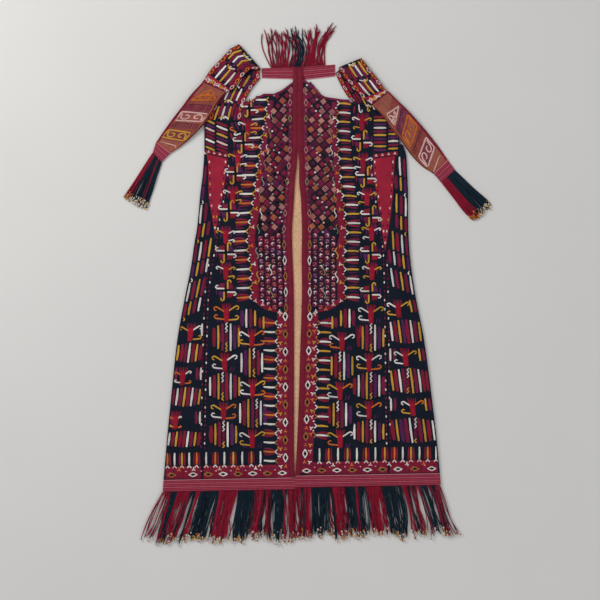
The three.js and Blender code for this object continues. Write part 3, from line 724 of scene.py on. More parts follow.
def front_sheet(side):
    heads = NECKLINE[side]
    wide, foot = heads[0]["x"], body_foot(side)
    neck = sorted((row["x"] / wide, row["y"]) for row in heads)

    def point(rise, share):
        y = mix(foot, polyline(neck, share), rise)
        place = front_point(side, mix(edge_x(side, y), front_x(side, y), share), y)
        place.z += seam_dip(max(share, 0.5), abs(wide) / 2)
        return place

    rows = steps(0, 1, step_mm() / (heads[0]["y"] - foot))
    columns = shares([share for share, _ in neck], step_mm() / abs(wide))
    return cloth(f"front_{side}", grid_of(rows, columns, point))


def between_sheet(node, side, y_foot, y_head):
    """A sheet between the front panel and the side, from a foot line to a head line. Both lines are
    given by the share across."""
    width = max(abs(gore_x(side, y) - front_x(side, y)) for y in (y_foot(0), y_head(0), y_head(1)))

    def point(rise, share):
        y = mix(y_foot(share), y_head(share), rise)
        inner = front_x(side, y) + outward(side) * SEAM
        place = front_point(side, mix(inner, gore_x(side, y), share), y)
        place.z += seam_dip(share, width / 2)
        return place

    rows = steps(0, 1, step_mm() / (y_head(0.5) - y_foot(0.5)))
    return cloth(node, grid_of(rows, across_shares(width), point))


def patch_y(side, end, share):
    """The shoulder patch's foot or top line, at a share of its width."""
    return mix(PATCH[side]["inner_" + end], PATCH[side]["outer_" + end], share)


def gusset_sheet(side):
    lines = (lambda share: GUSSET_POINT[side]), (lambda share: patch_y(side, "foot", share) - SEAM)
    return between_sheet(f"gusset_{side}", side, *lines)


def patch_sheet(side):
    lines = (lambda share: patch_y(side, "foot", share)), (lambda share: patch_y(side, "top", share))
    return between_sheet(f"shoulder_patch_{side}", side, *lines)


ROUND = 8  # spans on a side panel's lower layer, and as many round its fold


def round_section(side, y, edges, upper, lift):
    """Points from a back edge on the floor, round the side fold, to an edge of the upper layer. The
    upper layer has points at some shares of its width, each lifted a little."""
    fold, out = fold_x(side, y), outward(side)
    radius = front_top(side, fold, y) / 2
    centre = fold - out * radius
    tilt = hem_tilt(side, fold, y)
    section = [Vector((mix(edges[0], centre, k / ROUND), y + tilt, 0.0)) for k in range(ROUND)]
    for k in range(ROUND + 1):
        angle = math.pi * (k / ROUND - 0.5)
        across = centre + out * radius * math.cos(angle)
        section.append(Vector((across, y + tilt, radius * (1 + math.sin(angle)))))
    for share in upper:
        section.append(front_point(side, mix(centre, edges[1], share), y))
        section[-1].z += lift(share)
    return section


def side_sheet(side):
    foot, out = body_foot(side), outward(side)
    width = abs(fold_x(side, foot) - gore_x(side, foot))
    upper = across_shares(width)[1:]
    grid = []
    for y in steps(foot, SIDE_TOP[side] - SEAM, step_mm()):
        edges = back_seam_x(side, y) + out * SEAM / 2, gore_x(side, y) + out * SEAM
        grid.append(round_section(side, y, edges, upper, lambda s: seam_dip(max(s, 0.5), width / 2)))
    return cloth(f"side_panel_{side}", grid, wrapped=True)


def hem_tape_sheet(side):
    grid = []
    for k in range(STRIP + 1):
        y = HEM[side]["y"] - SEAM / 2 - TAPE * k / STRIP
        edges = back_seam_x(side, y) + outward(side) * SEAM / 2, edge_x(side, y)
        lift = -0.2 if k in (0, STRIP) else 0.3
        grid.append(round_section(side, y, edges, steps(0, 1, 1 / 48)[1:], lambda share: lift))
    return cloth(f"hem_tape_{side}", grid, wrapped=True)


def binding_sheet(side):
    """The binding's rolled strip, from the hem over the neck band to its top."""
    head = NECKLINE[side][-1]["y"]
    places = [(y, 0.0) for y in steps(body_foot(side), head, step_mm())]
    places += [(mix(head, BAND[side]["middle_top"], share), share) for share in (0.15, 0.3, 0.5, 0.75, 1)]

    def point(place, k):
        y, over = place
        x = edge_x(side, y) + outward(side) * (0.1 + (BINDING - 0.1) * k / STRIP)
        point = front_point(side, x, min(y, head))
        point.y += y - min(y, head)
        fall = point.z - SOLID_WALL - SEAM
        point.z += SEAM + 0.9 * math.sin(math.pi * k / STRIP) + 0.6 - smoothstep(over, 0, 0.6) * fall
        return point

    grid = grid_of(places, range(STRIP + 1), point)
    return cloth(f"edge_binding_{side}", grid, thickness=0.9 * MM)


def neck_band_sheet(side):
    band = BAND[side]

    def point(rise, share):
        x = mix(outward(side) * SEAM / 2, band["x"], share)
        foot = mix(band["middle_foot"], band["foot"], share)
        top = mix(band["middle_top"], band["top"], share)
        puff = 0.35 * math.sin(math.pi * rise) * math.sin(3.1 * share + 0.4)
        return Vector((x, mix(foot, top, rise), 1.6 + puff))

    return cloth(f"neck_band_{side}", grid_of(steps(0, 1, 1 / 8), steps(0, 1, 1 / 14), point))


BACK_DROP = 7
BACK_MIDDLE = 550


def back_grid(inset, height):
    """Rows over the back, from its hem edge to its neck edge."""
    heads, ends = [(0, BACK_MIDDLE)], []
    for side in SIDE_NAMES:
        out, shoulder = outward(side), PATCH[side]["outer_top"] - BACK_DROP
        wide = SIDES[side][0]["fold"] - out * 2
        heads += [(row["x"], row["y"] - BACK_DROP) for row in NECKLINE[side][2:-2]]
        heads += [(wide, shoulder), (NECKLINE[side][2]["x"] + out * 0.5, shoulder)]
        ends.append(wide - out * inset)
    heads.sort()

    def point(rise, share):
        head = polyline(heads, mix(*ends, share)) - inset
        y = mix(mix(HEM["left"]["y"], HEM["right"]["y"], share) + inset, head, rise)
        edges = []
        for side, end in zip(SIDE_NAMES, ends):
            seam = back_seam_x(side, y) - outward(side) * (SEAM / 2 + inset)
            edges.append(mix(seam, end, smoothstep(y, SIDE_TOP[side], SIDE_TOP[side] + 12)))
        return Vector((mix(*edges, share), y, height(share, rise)))

    return grid_of(steps(0, 1, 1 / 90), steps(0, 1, 1 / 66), point)


def back_sheet():
    return cloth("back_panel", back_grid(0, lambda share, rise: 1.6), thickness=1.4 * MM)


def lining_sheet():
    def height(share, rise):
        return 3.3 + 0.5 * math.sin(34 * share + 3 * math.sin(9 * rise)) * math.sin(11 * rise + 2)

    return cloth("back_lining", back_grid(6, height), thickness=0.6 * MM)


def back_hem(share):
    """The y of the back's hem, at a share of its width."""
    return mix(HEM["left"]["y"] + HEM["left"]["side"], HEM["right"]["y"] + HEM["right"]["side"], share)


def back_tape_sheet():
    ends = [BACK_SEAM["left"][1] + SEAM, BACK_SEAM["right"][1] - SEAM]

    def point(k, share):
        return Vector((mix(*ends, share), back_hem(share) - SEAM / 2 - BACK_TAPE * k / STRIP, 1.7))

    grid = grid_of(range(STRIP + 1), steps(0, 1, 1 / 60), point)
    return cloth("hem_tape_back", grid, thickness=1.5 * MM)


# ---- Sleeves ----
def through(points, place):
    """A point at any place along smooth curves through a list of points."""
    k = min(max(int(place), 0), len(points) - 2)
    t = place - k
    a = points[max(k - 1, 0)]
    b, c = points[k], points[k + 1]
    d = points[min(k + 2, len(points) - 1)]
    return 0.5 * (2 * b + (c - a) * t + (2 * a - 5 * b + 4 * c - d) * t**2 + (3 * b - a - 3 * c + d) * t**3)


class Station:
    """One cross line of a sleeve: its two edges, which way its first face looks, and its height."""

    def __init__(self, outer, inner, up, height):
        self.outer, self.inner, self.up, self.height = outer, inner, up.normalized(), height

    @property
    def middle(self):
        return (self.outer + self.inner) / 2

    @property
    def across(self):
        return (self.inner - self.outer).normalized()

    @property
    def width(self):
        return (self.inner - self.outer).length


TUCK = 0.32  # how far a sleeve runs in under the shoulder, as a share of its first row


def sleeve_edges(side, part):
    """Points down the outer edge and the inner edge of one part of a sleeve."""
    rows = SLEEVES[side][part]
    return [[Vector((r[e + "x"], r[e + "y"], r.get("under", 0))) for r in rows] for e in "oi"]


def laid_station(edges, place, up, height):
    """A station anywhere along two edges, lifted by half its height."""
    ends = [through(points, place) for points in edges]
    for end in ends:
        end.z = max(end.z, 0) + height / 2
    return Station(*ends, Vector((0, 0, up)), height)


def riser_stations(side):
    edges = sleeve_edges(side, "riser")
    last = len(edges[0]) - 1
    made = []
    for place in [-TUCK] + steps(0, last, 0.2):
        height = mix(SLEEVE_HEIGHTS["shoulder"], SLEEVE_HEIGHTS["plain"], place / last)
        made.append(laid_station(edges, place, 1, FRONT_UNDER - 0.5 if place < 0 else height))
    return made


def fold_stations(side):
    outer, inner = (Vector((*p, 0)) for p in SLEEVES[side]["fold"])
    height = SLEEVE_HEIGHTS["plain"]
    radius = (SLEEVE_HEIGHTS["fold_gap"] + height) / 2
    along = (inner - outer).normalized()
    away = Vector((along.y, -along.x, 0)) * outward(side)
    made = []
    for k in range(13):
        angle = math.pi * k / 12
        shift = away * (radius * (math.sin(angle) - 1) - height / 2)
        shift.z = height / 2 + radius * (1 - math.cos(angle))
        up = Vector((0, 0, math.cos(angle))) - away * math.sin(angle)
        made.append(Station(outer + shift, inner + shift, up, height))
    return made


def forward_stations(side, start, end, spacing, height):
    edges, short = sleeve_edges(side, "forward"), SEAM / 2 / 40
    return [laid_station(edges, place, -1, height) for place in steps(start + short, end - short, spacing)]


RING_FACE = 16  # spans across each of a sleeve's two faces
RING_END = 5  # spans round each of its edges
SWELL = 0.45  # how far a face stands out in its middle


def ring_row(station, pucker=0.0):
    """Points round a sleeve's two layers, which lie on each other, at one station."""
    radius = station.height / 2
    reach = station.width / 2 - radius
    row = []
    for turn in (1, -1):
        for k in range(RING_FACE):
            share = 2 * k / RING_FACE - 1
            swell = SWELL * (1 - share**4) + pucker * math.sin(9 * share)
            place = station.across * (turn * reach * share)
            row.append(station.middle + place + station.up * turn * (radius + swell - SWELL))
        for k in range(RING_END):
            angle = math.pi * (0.5 - k / RING_END)
            place = station.across * turn * (reach + radius * math.cos(angle))
            lift = radius * math.sin(angle) - SWELL * (k == 0)
            row.append(station.middle + place + station.up * turn * lift)
    return row


def sleeve_sheet(node, stations):
    grid = [ring_row(s, 0.25 * math.sin(1.1 * k)) for k, s in enumerate(stations)]
    return cloth(node, grid, ring=True, thickness=0.9 * MM)


def upper_forward(side):
    return forward_stations(side, 0, PANEL_ROW, 0.25, SLEEVE_HEIGHTS["plain"])


def upper_stations(side):
    return riser_stations(side) + fold_stations(side) + upper_forward(side)


def lower_stations(side):
    return forward_stations(side, PANEL_ROW, CUFF_ROW, 0.25, SLEEVE_HEIGHTS["plain"])


def cuff_stations(side):
    last = len(SLEEVES[side]["forward"]) - 1
    return forward_stations(side, CUFF_ROW, last, 1 / 6, SLEEVE_HEIGHTS["cuff"])


class Ribbon:
    """One face of a run of stations, as a flat chart: x across from its middle, y along it."""

    def __init__(self, stations, face):
        self.stations, self.face = stations, face
        self.places = running([s.middle for s in stations])
        self.length = self.places[-1]

    def at(self, y):
        y = clamp(y, 0, self.length - 1e-6)
        k = min(bisect.bisect_right(self.places, y), len(self.places) - 1) - 1
        share = (y - self.places[k]) / (self.places[k + 1] - self.places[k])
        return self.stations[k], self.stations[k + 1], share

    def half(self, y):
        a, b, share = self.at(y)
        return mix(a.width, b.width, share) / 2

    def __call__(self, x, y, lift):
        a, b, share = self.at(y)
        ends = []
        for station in (a, b):
            limit = station.width / 2 - 1.0
            place = station.middle + station.across * clamp(x, -limit, limit)
            ends.append(place + station.up * self.face * (station.height / 2 + 0.05 + lift))
        return ends[0].lerp(ends[1], share)


# ---- Embroidery ----
LAYERS = (0.12, 0.45, 0.8, 1.1)  # how high each layer of stitches stands on the cloth
SPOOLS = {
    "w": "cream", "g": "gold", "o": "orange", "k": "pink", "u": "umber", "s": "sage", "l": "olive",
    "m": "maroon", "r": "red", "c": "crimson", "p": "purple", "n": "wine", "d": "night",
}
BRIGHT = "wgokusl"


class Threads:
    """Gathers points and faces in silk colours, and makes them one mesh."""

    def __init__(self, name, seed):
        self.name, self.chance = name, random.Random(seed)
        self.points, self.faces, self.places, self.shades = [], [], [], []

    def put(self, point, along, across, shade):
        """One point, with its place along and across the stitches."""
        self.points.append(point)
        self.places.append((along * MM, across * MM))
        self.shades.append(shade)

    def mesh(self):
        obj = mesh_object(self.name, self.points, self.faces)
        write_uv(obj.data, "stitch", self.places)
        attribute = obj.data.attributes.new("silk", "FLOAT_COLOR", "POINT")
        attribute.data.foreach_set("color", [c for shade in self.shades for c in shade])
        for face in obj.data.polygons:
            if self.flat and face.normal.z < 0:
                face.flip()
        only(obj)
        bpy.ops.object.shade_smooth()
        return obj


class Needle(Threads):
    """Stitches shapes on one surface."""

    flat = True

    def __init__(self, name, surface, seed):
        super().__init__(name, seed)
        self.surface = surface

    def shade(self, letter, steady=False):
        light = 1.0 if steady else self.chance.uniform(0.84, 1.14)
        return (*[min(1.0, c * light) for c in SILKS[SPOOLS.get(letter, letter)]], 1.0)

    def line(self, path, width, silk_name, layer=1, loft=0.45):
        """A raised line of stitches along a path of points. Its width is one number, which is less at
        both ends, or one for the start, the middle and the end."""
        widths = width if isinstance(width, tuple) else (width * 0.7, width, width * 0.7)
        shade = self.shade(silk_name)
        lengths = [0.0, *accumulate(math.dist(a, b) for a, b in pairwise(path))]
        total = lengths[-1]
        if total < 0.5:
            return
        count = max(3, round(total / (sizes().stitch_step / MM)) + 1, len(path) if len(path) > 2 else 3)
        first = len(self.points)
        for k in range(count):
            along = total * k / (count - 1)
            i = min(bisect.bisect_right(lengths, along), len(path) - 1)
            share = (along - lengths[i - 1]) / max(lengths[i] - lengths[i - 1], 1e-6)
            x, y = (mix(path[i - 1][n], path[i][n], share) for n in (0, 1))
            back = i - 2 if share < 0.3 and i > 1 else i - 1
            dx, dy = path[i][0] - path[back][0], path[i][1] - path[back][1]
            size = math.hypot(dx, dy) or 1
            dx, dy = dx / size, dy / size
            rise = 2 * k / (count - 1)
            wide = mix(widths[0], widths[1], rise) if rise < 1 else mix(widths[1], widths[2], rise - 1)
            end = k in (0, count - 1)
            for across in (-0.5, 0, 0.5):
                lift = LAYERS[layer] + (loft * (0.4 if end else 1) if across == 0 else -0.3)
                place = self.surface(x - dy * wide * across, y + dx * wide * across, lift)
                self.put(place, along, across * wide, shade)
        for a in (first + 3 * k + j for k in range(count - 1) for j in (0, 1)):
            self.faces.append((a, a + 1, a + 4, a + 3))

    def block(self, corners, silk_name, layer=0, cells=(1, 1), loft=0.22, steady=False):
        """A filled patch between four corners, with rounded-off edges."""
        shade = self.shade(silk_name, steady)
        a, b, c, d = corners
        wide = max(math.dist(a, b), math.dist(d, c), 0.1)
        tall = max(math.dist(a, d), math.dist(b, c), 0.1)
        first = len(self.points)
        us, vs = (
            [0.0] + [mix(rim, 1 - rim, k / n) for k in range(n + 1)] + [1.0]
            for n, rim in ((cells[0], min(0.3, 1.0 / wide)), (cells[1], min(0.3, 1.0 / tall)))
        )
        for v in vs:
            for u in us:
                x, y = (mix(mix(a[n], b[n], u), mix(d[n], c[n], u), v) for n in (0, 1))
                rim = u in (0.0, 1.0) or v in (0.0, 1.0)
                place = self.surface(x, y, LAYERS[layer] + (-0.3 if rim else loft))
                self.put(place, u * wide, (v - 0.5) * tall, shade)
        row = len(us)
        for k in (first + i * row + j for i in range(len(vs) - 1) for j in range(row - 1)):
            self.faces.append((k, k + 1, k + row + 1, k + row))

    def make(self):
        finish(self.mesh(), "Embroidery Floss")


def polar(x, y, degrees, length):
    return x + length * math.cos(math.radians(degrees)), y + length * math.sin(math.radians(degrees))


def bar(needle, x0, y0, x1, y1, letter, width=None):
    """A straight bar of satin stitch: a slim bright one, or a wide dark one below it."""
    bright = letter in BRIGHT
    width = width or (6.2 if bright else 9.2)
    bow = needle.chance.uniform(-0.8, 0.8)
    path = [(x0, y0), ((x0 + x1) / 2 + bow, (y0 + y1) / 2 + bow), (x1, y1)]
    needle.line(path, (width * 0.66, width, width * 0.72), letter, int(bright), 0.5)


def hook(needle, x, y, heading, length, letter, turn=1, width=4.4):
    """A stem that curls back on itself, from its root outwards."""
    radius = length * 0.19
    end = polar(x, y, heading, length - radius)
    centre = polar(*end, heading + 90 * turn, radius)
    curl = [polar(*centre, heading - 90 * turn + turn * a, radius) for a in (40, 85, 130, 180, 225)]
    path = [(x, y), polar(x, y, heading, length * 0.45), end] + curl
    needle.line(path, (width * 0.8, width, width * 0.7), letter, 2, 0.5)


def ring_diamond(needle, x, y, rx, ry, letter, width=2.8, heart="d"):
    """A diamond's outline round a dark heart."""
    corners = [(x - rx, y), (x, y + ry), (x + rx, y), (x, y - ry)]
    needle.block([(mix(x, cx, 0.7), mix(y, cy, 0.7)) for cx, cy in corners], heart, 1)
    for ends in pairwise(corners + corners[:1]):
        needle.line(ends, (width,) * 3, letter, 2, 0.4)


def sprig(needle, x, y, size, heading, letter):
    """Three short stitches from one point."""
    for turn in (-125, 0, 125):
        needle.line([(x, y), polar(x, y, heading + turn, size)], (2.6, 3.4, 2.4), letter, 2, 0.4)


def fleck(needle, x, y, rise, letter):
    """A small stitch on a strip, between its motifs."""
    needle.line([(x - 3, y), (x + 3, y + rise)], 3.4, letter, 1, 0.2)


def strip(needle, places, letter):
    """A plain strip through places that each give its two edge points."""
    for (a, b), (d, c) in pairwise(places):
        needle.block([a, b, c, d], letter, 0, (2, 2), steady=True)


def wave(needle, x, top, period, letter, reach, width):
    """A line that winds once from side to side down the cloth."""
    ys = steps(top, top - period, 2.4)
    path = [(x + reach * math.sin(math.tau * (y - top) / period), y) for y in ys]
    needle.line(path, (width,) * 3, letter, 2, 0.4)


def headed_bar(needle, side, k, white, head, length, y, head_letter, rise):
    """A bar across the cloth with a forked head, and dark bars beside every other one. The result is
    whether it has them."""
    out = outward(side)
    tail = head + out * length
    middle = (head + tail) / 2
    path = [(head + out * 2, y), (middle, y + rise * 0.3 + out * 0.7), (tail, y + rise)]
    needle.line(path, (4.6, 5.8, 3.8), "w" if white else "o" if side == "left" else "g", 1, 0.55)
    flanked = white == (side == "right")
    for j in (-1, 1):
        if flanked:
            foot = (tail - out * 2, y + rise + j * 8.2)
            edge = [(head + out * 4, y + j * 4.6), (middle, y + j * 7.4), foot]
            needle.line(edge, (4.0, 7.6, 6.4), "red" if k % 4 < 2 else "maroon", 0, 0.4)
        needle.line([(head + out * 3, y), (head - out * 3.6, y + j * 6.4)], (3.0, 3.4, 2.6), head_letter, 2)
    return flanked


def links(needle, out, rows, letters):
    """Short stitches between the heads of bars, which are given from the top down."""
    for k, ((xa, ya), (xb, yb)) in enumerate(pairwise(rows)):
        x, y = (xa + xb) / 2 - out * 6, (ya + yb) / 2
        letter = letters[k % len(letters)]
        needle.line([(x - out * 2.5, y - 1), (x + out * 2.5, y + 1)], (2.4, 3.6, 2.4), letter, 2, 0.4)
        if k % 2:
            needle.line([(x, y), (xb - out * 4.5, yb + 7)], (1.8, 2.2, 1.8), letter, 2, 0.35)


def zigzag(needle, x, y0, y1, letters):
    """A small zigzag down a column, its colour changing by turns."""
    for k, (ya, yb) in enumerate(pairwise(steps(y0, y1, 5.6))):
        reach = 2.8 if k % 2 else -2.8
        letter = letters[(k // 5) % len(letters)]
        needle.line([(x - reach, ya), (x + reach, yb)], (2.6, 3.2, 2.6), letter, 2, 0.35)


RAM_WIDTH = 17


def ram(needle, x, y, height=52, lean=0.0):
    """A crimson block that narrows downwards, with a crown of spikes."""
    foot, head = y - height / 2, y + height * 0.22
    slant = lean * height
    low, high = RAM_WIDTH * 0.36, RAM_WIDTH / 2
    corners = [(x - low - slant / 2, foot), (x + low - slant / 2, foot)]
    corners += [(x + high + slant / 4, head), (x - high + slant / 4, head)]
    needle.block(corners, "crimson", 1, (1, 3), 0.4)
    for k in range(5):
        across = (k - 2) * RAM_WIDTH * 0.24
        path = [(x + across, head - 3), (x + across * 1.35 + slant / 2, y + height / 2)]
        needle.line(path, (3.4, 3.2, 1.6), "crimson" if k % 2 == 0 else "maroon", 1, 0.4)


def hooks_round(needle, x, y, plan, length=29):
    """Hooks beside a block. plan gives a thread for the upper left, the upper right, the lower left
    and the lower right, or a dot for none."""
    places = ((-7, 4, 148, 1), (7, 6, 34, -1), (-6, -18, 174, -1), (6, -20, 5, 1))
    for letter, (dx, dy, heading, turn) in zip(plan, places):
        if letter in SPOOLS:
            hook(needle, x + dx, y + dy, heading, length, letter, turn)


def bunch(needle, x, top, foot, plan, pitch=11.6, lean=0.0, swell=0.36):
    """Upright bars side by side, shorter towards the sides, one for each letter of plan."""
    middle = (len(plan) - 1) / 2
    for k, letter in enumerate(plan):
        across = (k - middle) * pitch
        short = swell * abs((k - middle) / max(middle, 1)) ** 1.4 / 2
        y0, y1 = mix(top, foot, short), mix(foot, top, short)
        x0, x1 = x + across + lean * (y0 - top), x + across + lean * (y1 - top)
        if letter == "z":
            needle.block([(x1 - 4.4, y1), (x1 + 4.4, y1), (x0 + 4.4, y0), (x0 - 4.4, y0)], "wine", 0, (1, 6))
            zigzag(needle, (x0 + x1) / 2, y0, y1, "wrgr")
        elif letter in SPOOLS:
            letter = "rm"[k // 2 % 2] if letter == "m" else letter
            bar(needle, x0, y0, x1, y1, letter, 6.2 if letter in BRIGHT else pitch * 1.18)


HEADS = {
    "left": Profile(
        [(518, -86), (466, -94), (428, -100), (398, -105), (364, -109.5), (335, -115), (304, -118),
         (274, -123), (222, -129), (194, -134), (168, -138), (141, -144), (112, -143), (87, -140),
         (39, -134), (-12, -133), (-60, -133)]
    ),
    "right": Profile(
        [(508, 113), (442, 111), (386, 114), (329, 118), (267, 123), (242, 127.5), (186, 134.5),
         (134, 139), (109, 132), (61, 132), (-16, 134), (-60, 134)]
    ),
}
BAR_ROWS = {"left": (518, -34, 26.2, 0), "right": (508, -34, 26.4, 1)}
CROSSES = {
    "left": ((-136, 494), (-152.6, 397.6), (-175, 310.8), (-193, 207), (-201.6, 90.7), (-201.6, -15)),
    "right": ((179, 403), (190, 302.4), (204, 193), (203, 89.6), (203, -22.4)),
}
RAMS = {
    "left": ((-140, 442), (-168, 353), (-182, 252), (-201.6, 140), (-201.6, 39)),
    "right": ((179, 456), (182, 344.4), (193, 246.4), (205.8, 148.4), (207, 39)),
}
SKIRT = {
    "left": (
        (-200, -78, "ogog", "mgmzwpg"),
        (-129, -148, "wogo", "wpgzmw"),
        (-205, -216, "gww.", "wmgzmwmg"),
        (-127, -288, "wgwo", "wmgmzwp"),
        (-208, -353, "gowo", "mgmzwpg"),
        (-128, -430, "wgg.", ""),
    ),
    "right": (
        (204, -81, "wgw.", "mgmzwpg"),
        (123, -158, "wwo.", "gmzwpg"),
        (198.5, -216, "wwgo", "mwmgzpwm"),
        (117, -296, "gow.", "mgzmwp"),
        (198.5, -349, "gow.", "wmgmzwpg"),
        (118, -430, "gwo.", ""),
    ),
}


NARROW_ABOVE = 250  # above this y, the band beside the bars' heads is narrower


def band_x(side, y):
    """The middle of the band between the bars' heads and the inner field."""
    return HEADS[side](y) - outward(side) * (11 if y > NARROW_ABOVE else 14)


def cell_inside(side, x, y):
    """Whether a place lies in the bodice's inner field."""
    inner = edge_x(side, y) + outward(side) * (BINDING + (9 if y < 500 else 3))
    outer = band_x(side, y) - outward(side) * (6 if y > NARROW_ABOVE else 10)
    return outward(side) * (x - inner) > 0 and outward(side) * (outer - x) > 0


def neck_y(side, x):
    return polyline(sorted((row["x"], row["y"]) for row in NECKLINE[side]), x)


CHECK = (12.2, -14.6, 14.6, 12.2)  # one side of a check, and the next
CHECKS_FROM = 330
CHECKS_FOOT = 146
SQUARE = ((-1, -1), (1, -1), (1, 1), (-1, 1))


def checks(needle, side):
    """The bodice's field of slanted squares: bright ones, hatched across, between dark ones."""
    ax, ay, bx, by = CHECK
    out, chance = outward(side), needle.chance

    def square(x, y, size):
        turns = [(sx * ax + sy * bx, sx * ay + sy * by) for sx, sy in SQUARE]
        return [(x + size * out * dx, y + size * dy) for dx, dy in turns]

    for i, j in product(range(-45, 46), repeat=2):
        x, y = (i * ax + j * bx) * out, CHECKS_FROM + i * ay + j * by
        if not (CHECKS_FOOT < y < neck_y(side, x) - 4 and cell_inside(side, x, y)):
            continue
        roll = chance.random()
        needle.block(square(x, y, 0.46), "ndnnm"[int(roll * 37) % 5], 0, loft=0.1)
        if (i + j) % 2 == 0 and roll < 0.84:
            corners = square(x + chance.uniform(-1, 1), y, 0.37)
            bright = "copper" if roll < 0.34 else "dusty" if roll < 0.6 else "salmon"
            needle.block(corners, bright, 1, loft=0.2)
            a, b, c, d = corners if roll * 50 % 2 > 0.7 else corners[1:] + corners[:1]
            for cut in (0.2, 0.5, 0.8):
                p, q = ([mix(e[n], f[n], cut) for n in (0, 1)] for e, f in ((a, b), (d, c)))
                ends = [[mix(p[n], q[n], t) for n in (0, 1)] for t in (0.1, 0.9)]
                needle.line(ends, (1.8, 2.3, 1.8), "wine" if roll < 0.7 else "k", 2, 0.1)
            continue
        needle.block(square(x, y, 0.3), "nmdmprm"[int(roll * 6.99)], 1, loft=0.2)
        if roll > 0.25:
            x, y = x + (9 if roll > 0.65 else -9) * out, y + chance.uniform(-4, 4)
            dot = "sswlk"[int(roll * 97) % 5]
            needle.line([(x - 2.6, y), (x + 2.6, y)], (3.4, 5.4, 3.4), dot, 2, 0.4)


def small_hooks(needle, side):
    """The field of small hooks below the checks, in staggered columns between dark lines."""
    out, chance = outward(side), needle.chance
    pitch = 16
    for k, row in product(range(7), range(14)):
        y = 138 - pitch * (row + 0.5 * (k % 2))
        x = edge_x(side, y) + out * (BINDING + 23 + 17 * k)
        if not cell_inside(side, x + out * 5, y) or y < -62 + 3.2 * max(0, k - 2.5) ** 1.8:
            continue
        needle.block([(x + sx * 7.2, y + sy * 6.8) for sx, sy in SQUARE], chance.choice("mnmnp"))
        bright, turn = (row + k) % 2 == 0, out * (1 if row % 4 < 2 else -1)
        comma = ((-3.6, 3.2), (0.6, 4.4), (3.2, 0.8), (1, -3))
        shade = chance.choice("wwkw" if bright else ("copper", "u", "dusty", "salmon"))
        needle.line([(x + turn * dx, y + dy) for dx, dy in comma], (3.4, 5.2, 2.4), shade, 1, 0.4)
        needle.line([(x - turn * 4, y - 2.4), (x - turn * 1.2, y - 4)], 3.6, "r" if bright else "k", 1, 0.3)
    for k, (x, high) in enumerate(((62, 58), (62, -6), (98, 104), (98, 38))):
        letter = "wlsg"[(k + (side == "right")) % 4]
        wave(needle, edge_x(side, high) + out * x, high, 31, letter, 3.6, 2.8)


def inner_band(needle, side):
    """The crimson band between the bars' heads and the inner field, turning in above the skirt."""
    out = outward(side)
    top = 516 if side == "left" else 512
    centre = [(band_x(side, y), y, 15 if y > NARROW_ABOVE else 20) for y in steps(top, -40, 20)]
    inner = edge_x(side, -80) + out * 40
    turn = [(mix(band_x(side, -40), inner, s), -40 - 36 * math.sin(s * 1.57)) for s in (0.3, 0.6, 1)]
    centre += [(x, y, 24) for x, y in turn]
    for a, b in pairwise(centre):
        edges = [((x - wide / 2, y), (x + wide / 2, y)) for x, y, wide in (a, b)]
        strip(needle, edges, "red" if a[1] < 330 else "maroon")
    for k, y in enumerate(steps(top - 20, -44, 26)):
        if k % 2:
            sprig(needle, band_x(side, y), y, 6, 90 + 20 * out, "wgko"[k // 2 % 4])
    for (x, y), letter in zip(turn, "kow"):
        sprig(needle, x, y + 2, 6, 90, letter)
    for k, y in enumerate(steps(top - 34, 170, 46)):
        x = band_x(side, y) - out * (9 if y > NARROW_ABOVE else 13)
        wave(needle, x, y, 27, "slwl"[k % 4], 2.8, 2.3)


def horizontal_bars(needle, side):
    """Bars with forked heads down the outer side of the bodice."""
    out = outward(side)
    top, foot, pitch, odd = BAR_ROWS[side]
    rows = []
    for k, y in enumerate(steps(top, foot, pitch)):
        white = k % 2 == odd
        head = HEADS[side](y)
        reach = 38 if y < 330 else 35
        if y + 4 > neck_y(side, head + out * reach):
            reach = 22
        heads = ("u" if side == "right" else "g") if white else "w"
        flanked = headed_bar(needle, side, k, white, head, reach, y, heads, needle.chance.uniform(-3, 1))
        rows.append((head, y))
        for j in () if flanked else (-1, 1):
            shade = "purple" if (k + j) % 3 else "maroon"
            needle.line([(head + out * 8, y + j * 8), (head + out * 32, y + j * 9)], 4.6, shade, 0, 0.3)
    links(needle, out, rows, "wgku")


# A cross's four arms: where each starts from its middle, its heading and its letter.
ARMS = ((5, 4, 90, "g"), (4, -5, 0, "w"), (-5, -4, -90, "g"), (-4, 5, 180, "w"))


def hook_column(needle, side):
    """Crimson blocks and turning crosses of hooks down the front panel's outer part."""
    out = outward(side)
    for k, (x, y) in enumerate(RAMS[side]):
        ram(needle, x, y, 50)
        hook(needle, x - 7, y + 6, 156, 20, "wg"[k % 2], 1, 4.0)
        hook(needle, x + 7, y + 4, 26, 19, "gw"[k % 2], -1, 4.0)
        hook(needle, x - out * 7, y - 16, 90 + out * 80, 17, "gw"[k % 2], out, 3.8)
        for j in (-1, 1):
            bar(needle, x + j * 14, y - 8, x + j * 13, y + 20, "pm"[(k + j) % 2], 6.5)
    for k, (x, y) in enumerate(CROSSES[side]):
        reach = 20 if k == 0 and side == "left" else 25
        quarter = ((3, 3), (reach - 3, 3), (reach - 7, 19), (3, 21))
        for sx, sy, shades in ((-1, 1, "rm"), (1, 1, "pm"), (1, -1, "rc"), (-1, -1, "mp")):
            needle.block([(x + sx * a, y + sy * b) for a, b in quarter], shades[k % 2], 0, (2, 2))
        for dx, dy in ((0, 27), (0, -27), (24, 0), (-24, 0)):
            needle.line([(x, y), (x + dx, y + dy)], (2.6,) * 3, "night", 1, 0.3)
        for turn in (-1, 1):
            bar(needle, x + turn * 27, y + 13, x + turn * 26, y - 13, "mp"[(k + turn > 0) % 2], 5)
        for dx, dy, heading, letter in ARMS:
            hook(needle, x + dx, y + dy, heading, reach, letter, -1, 4.8)


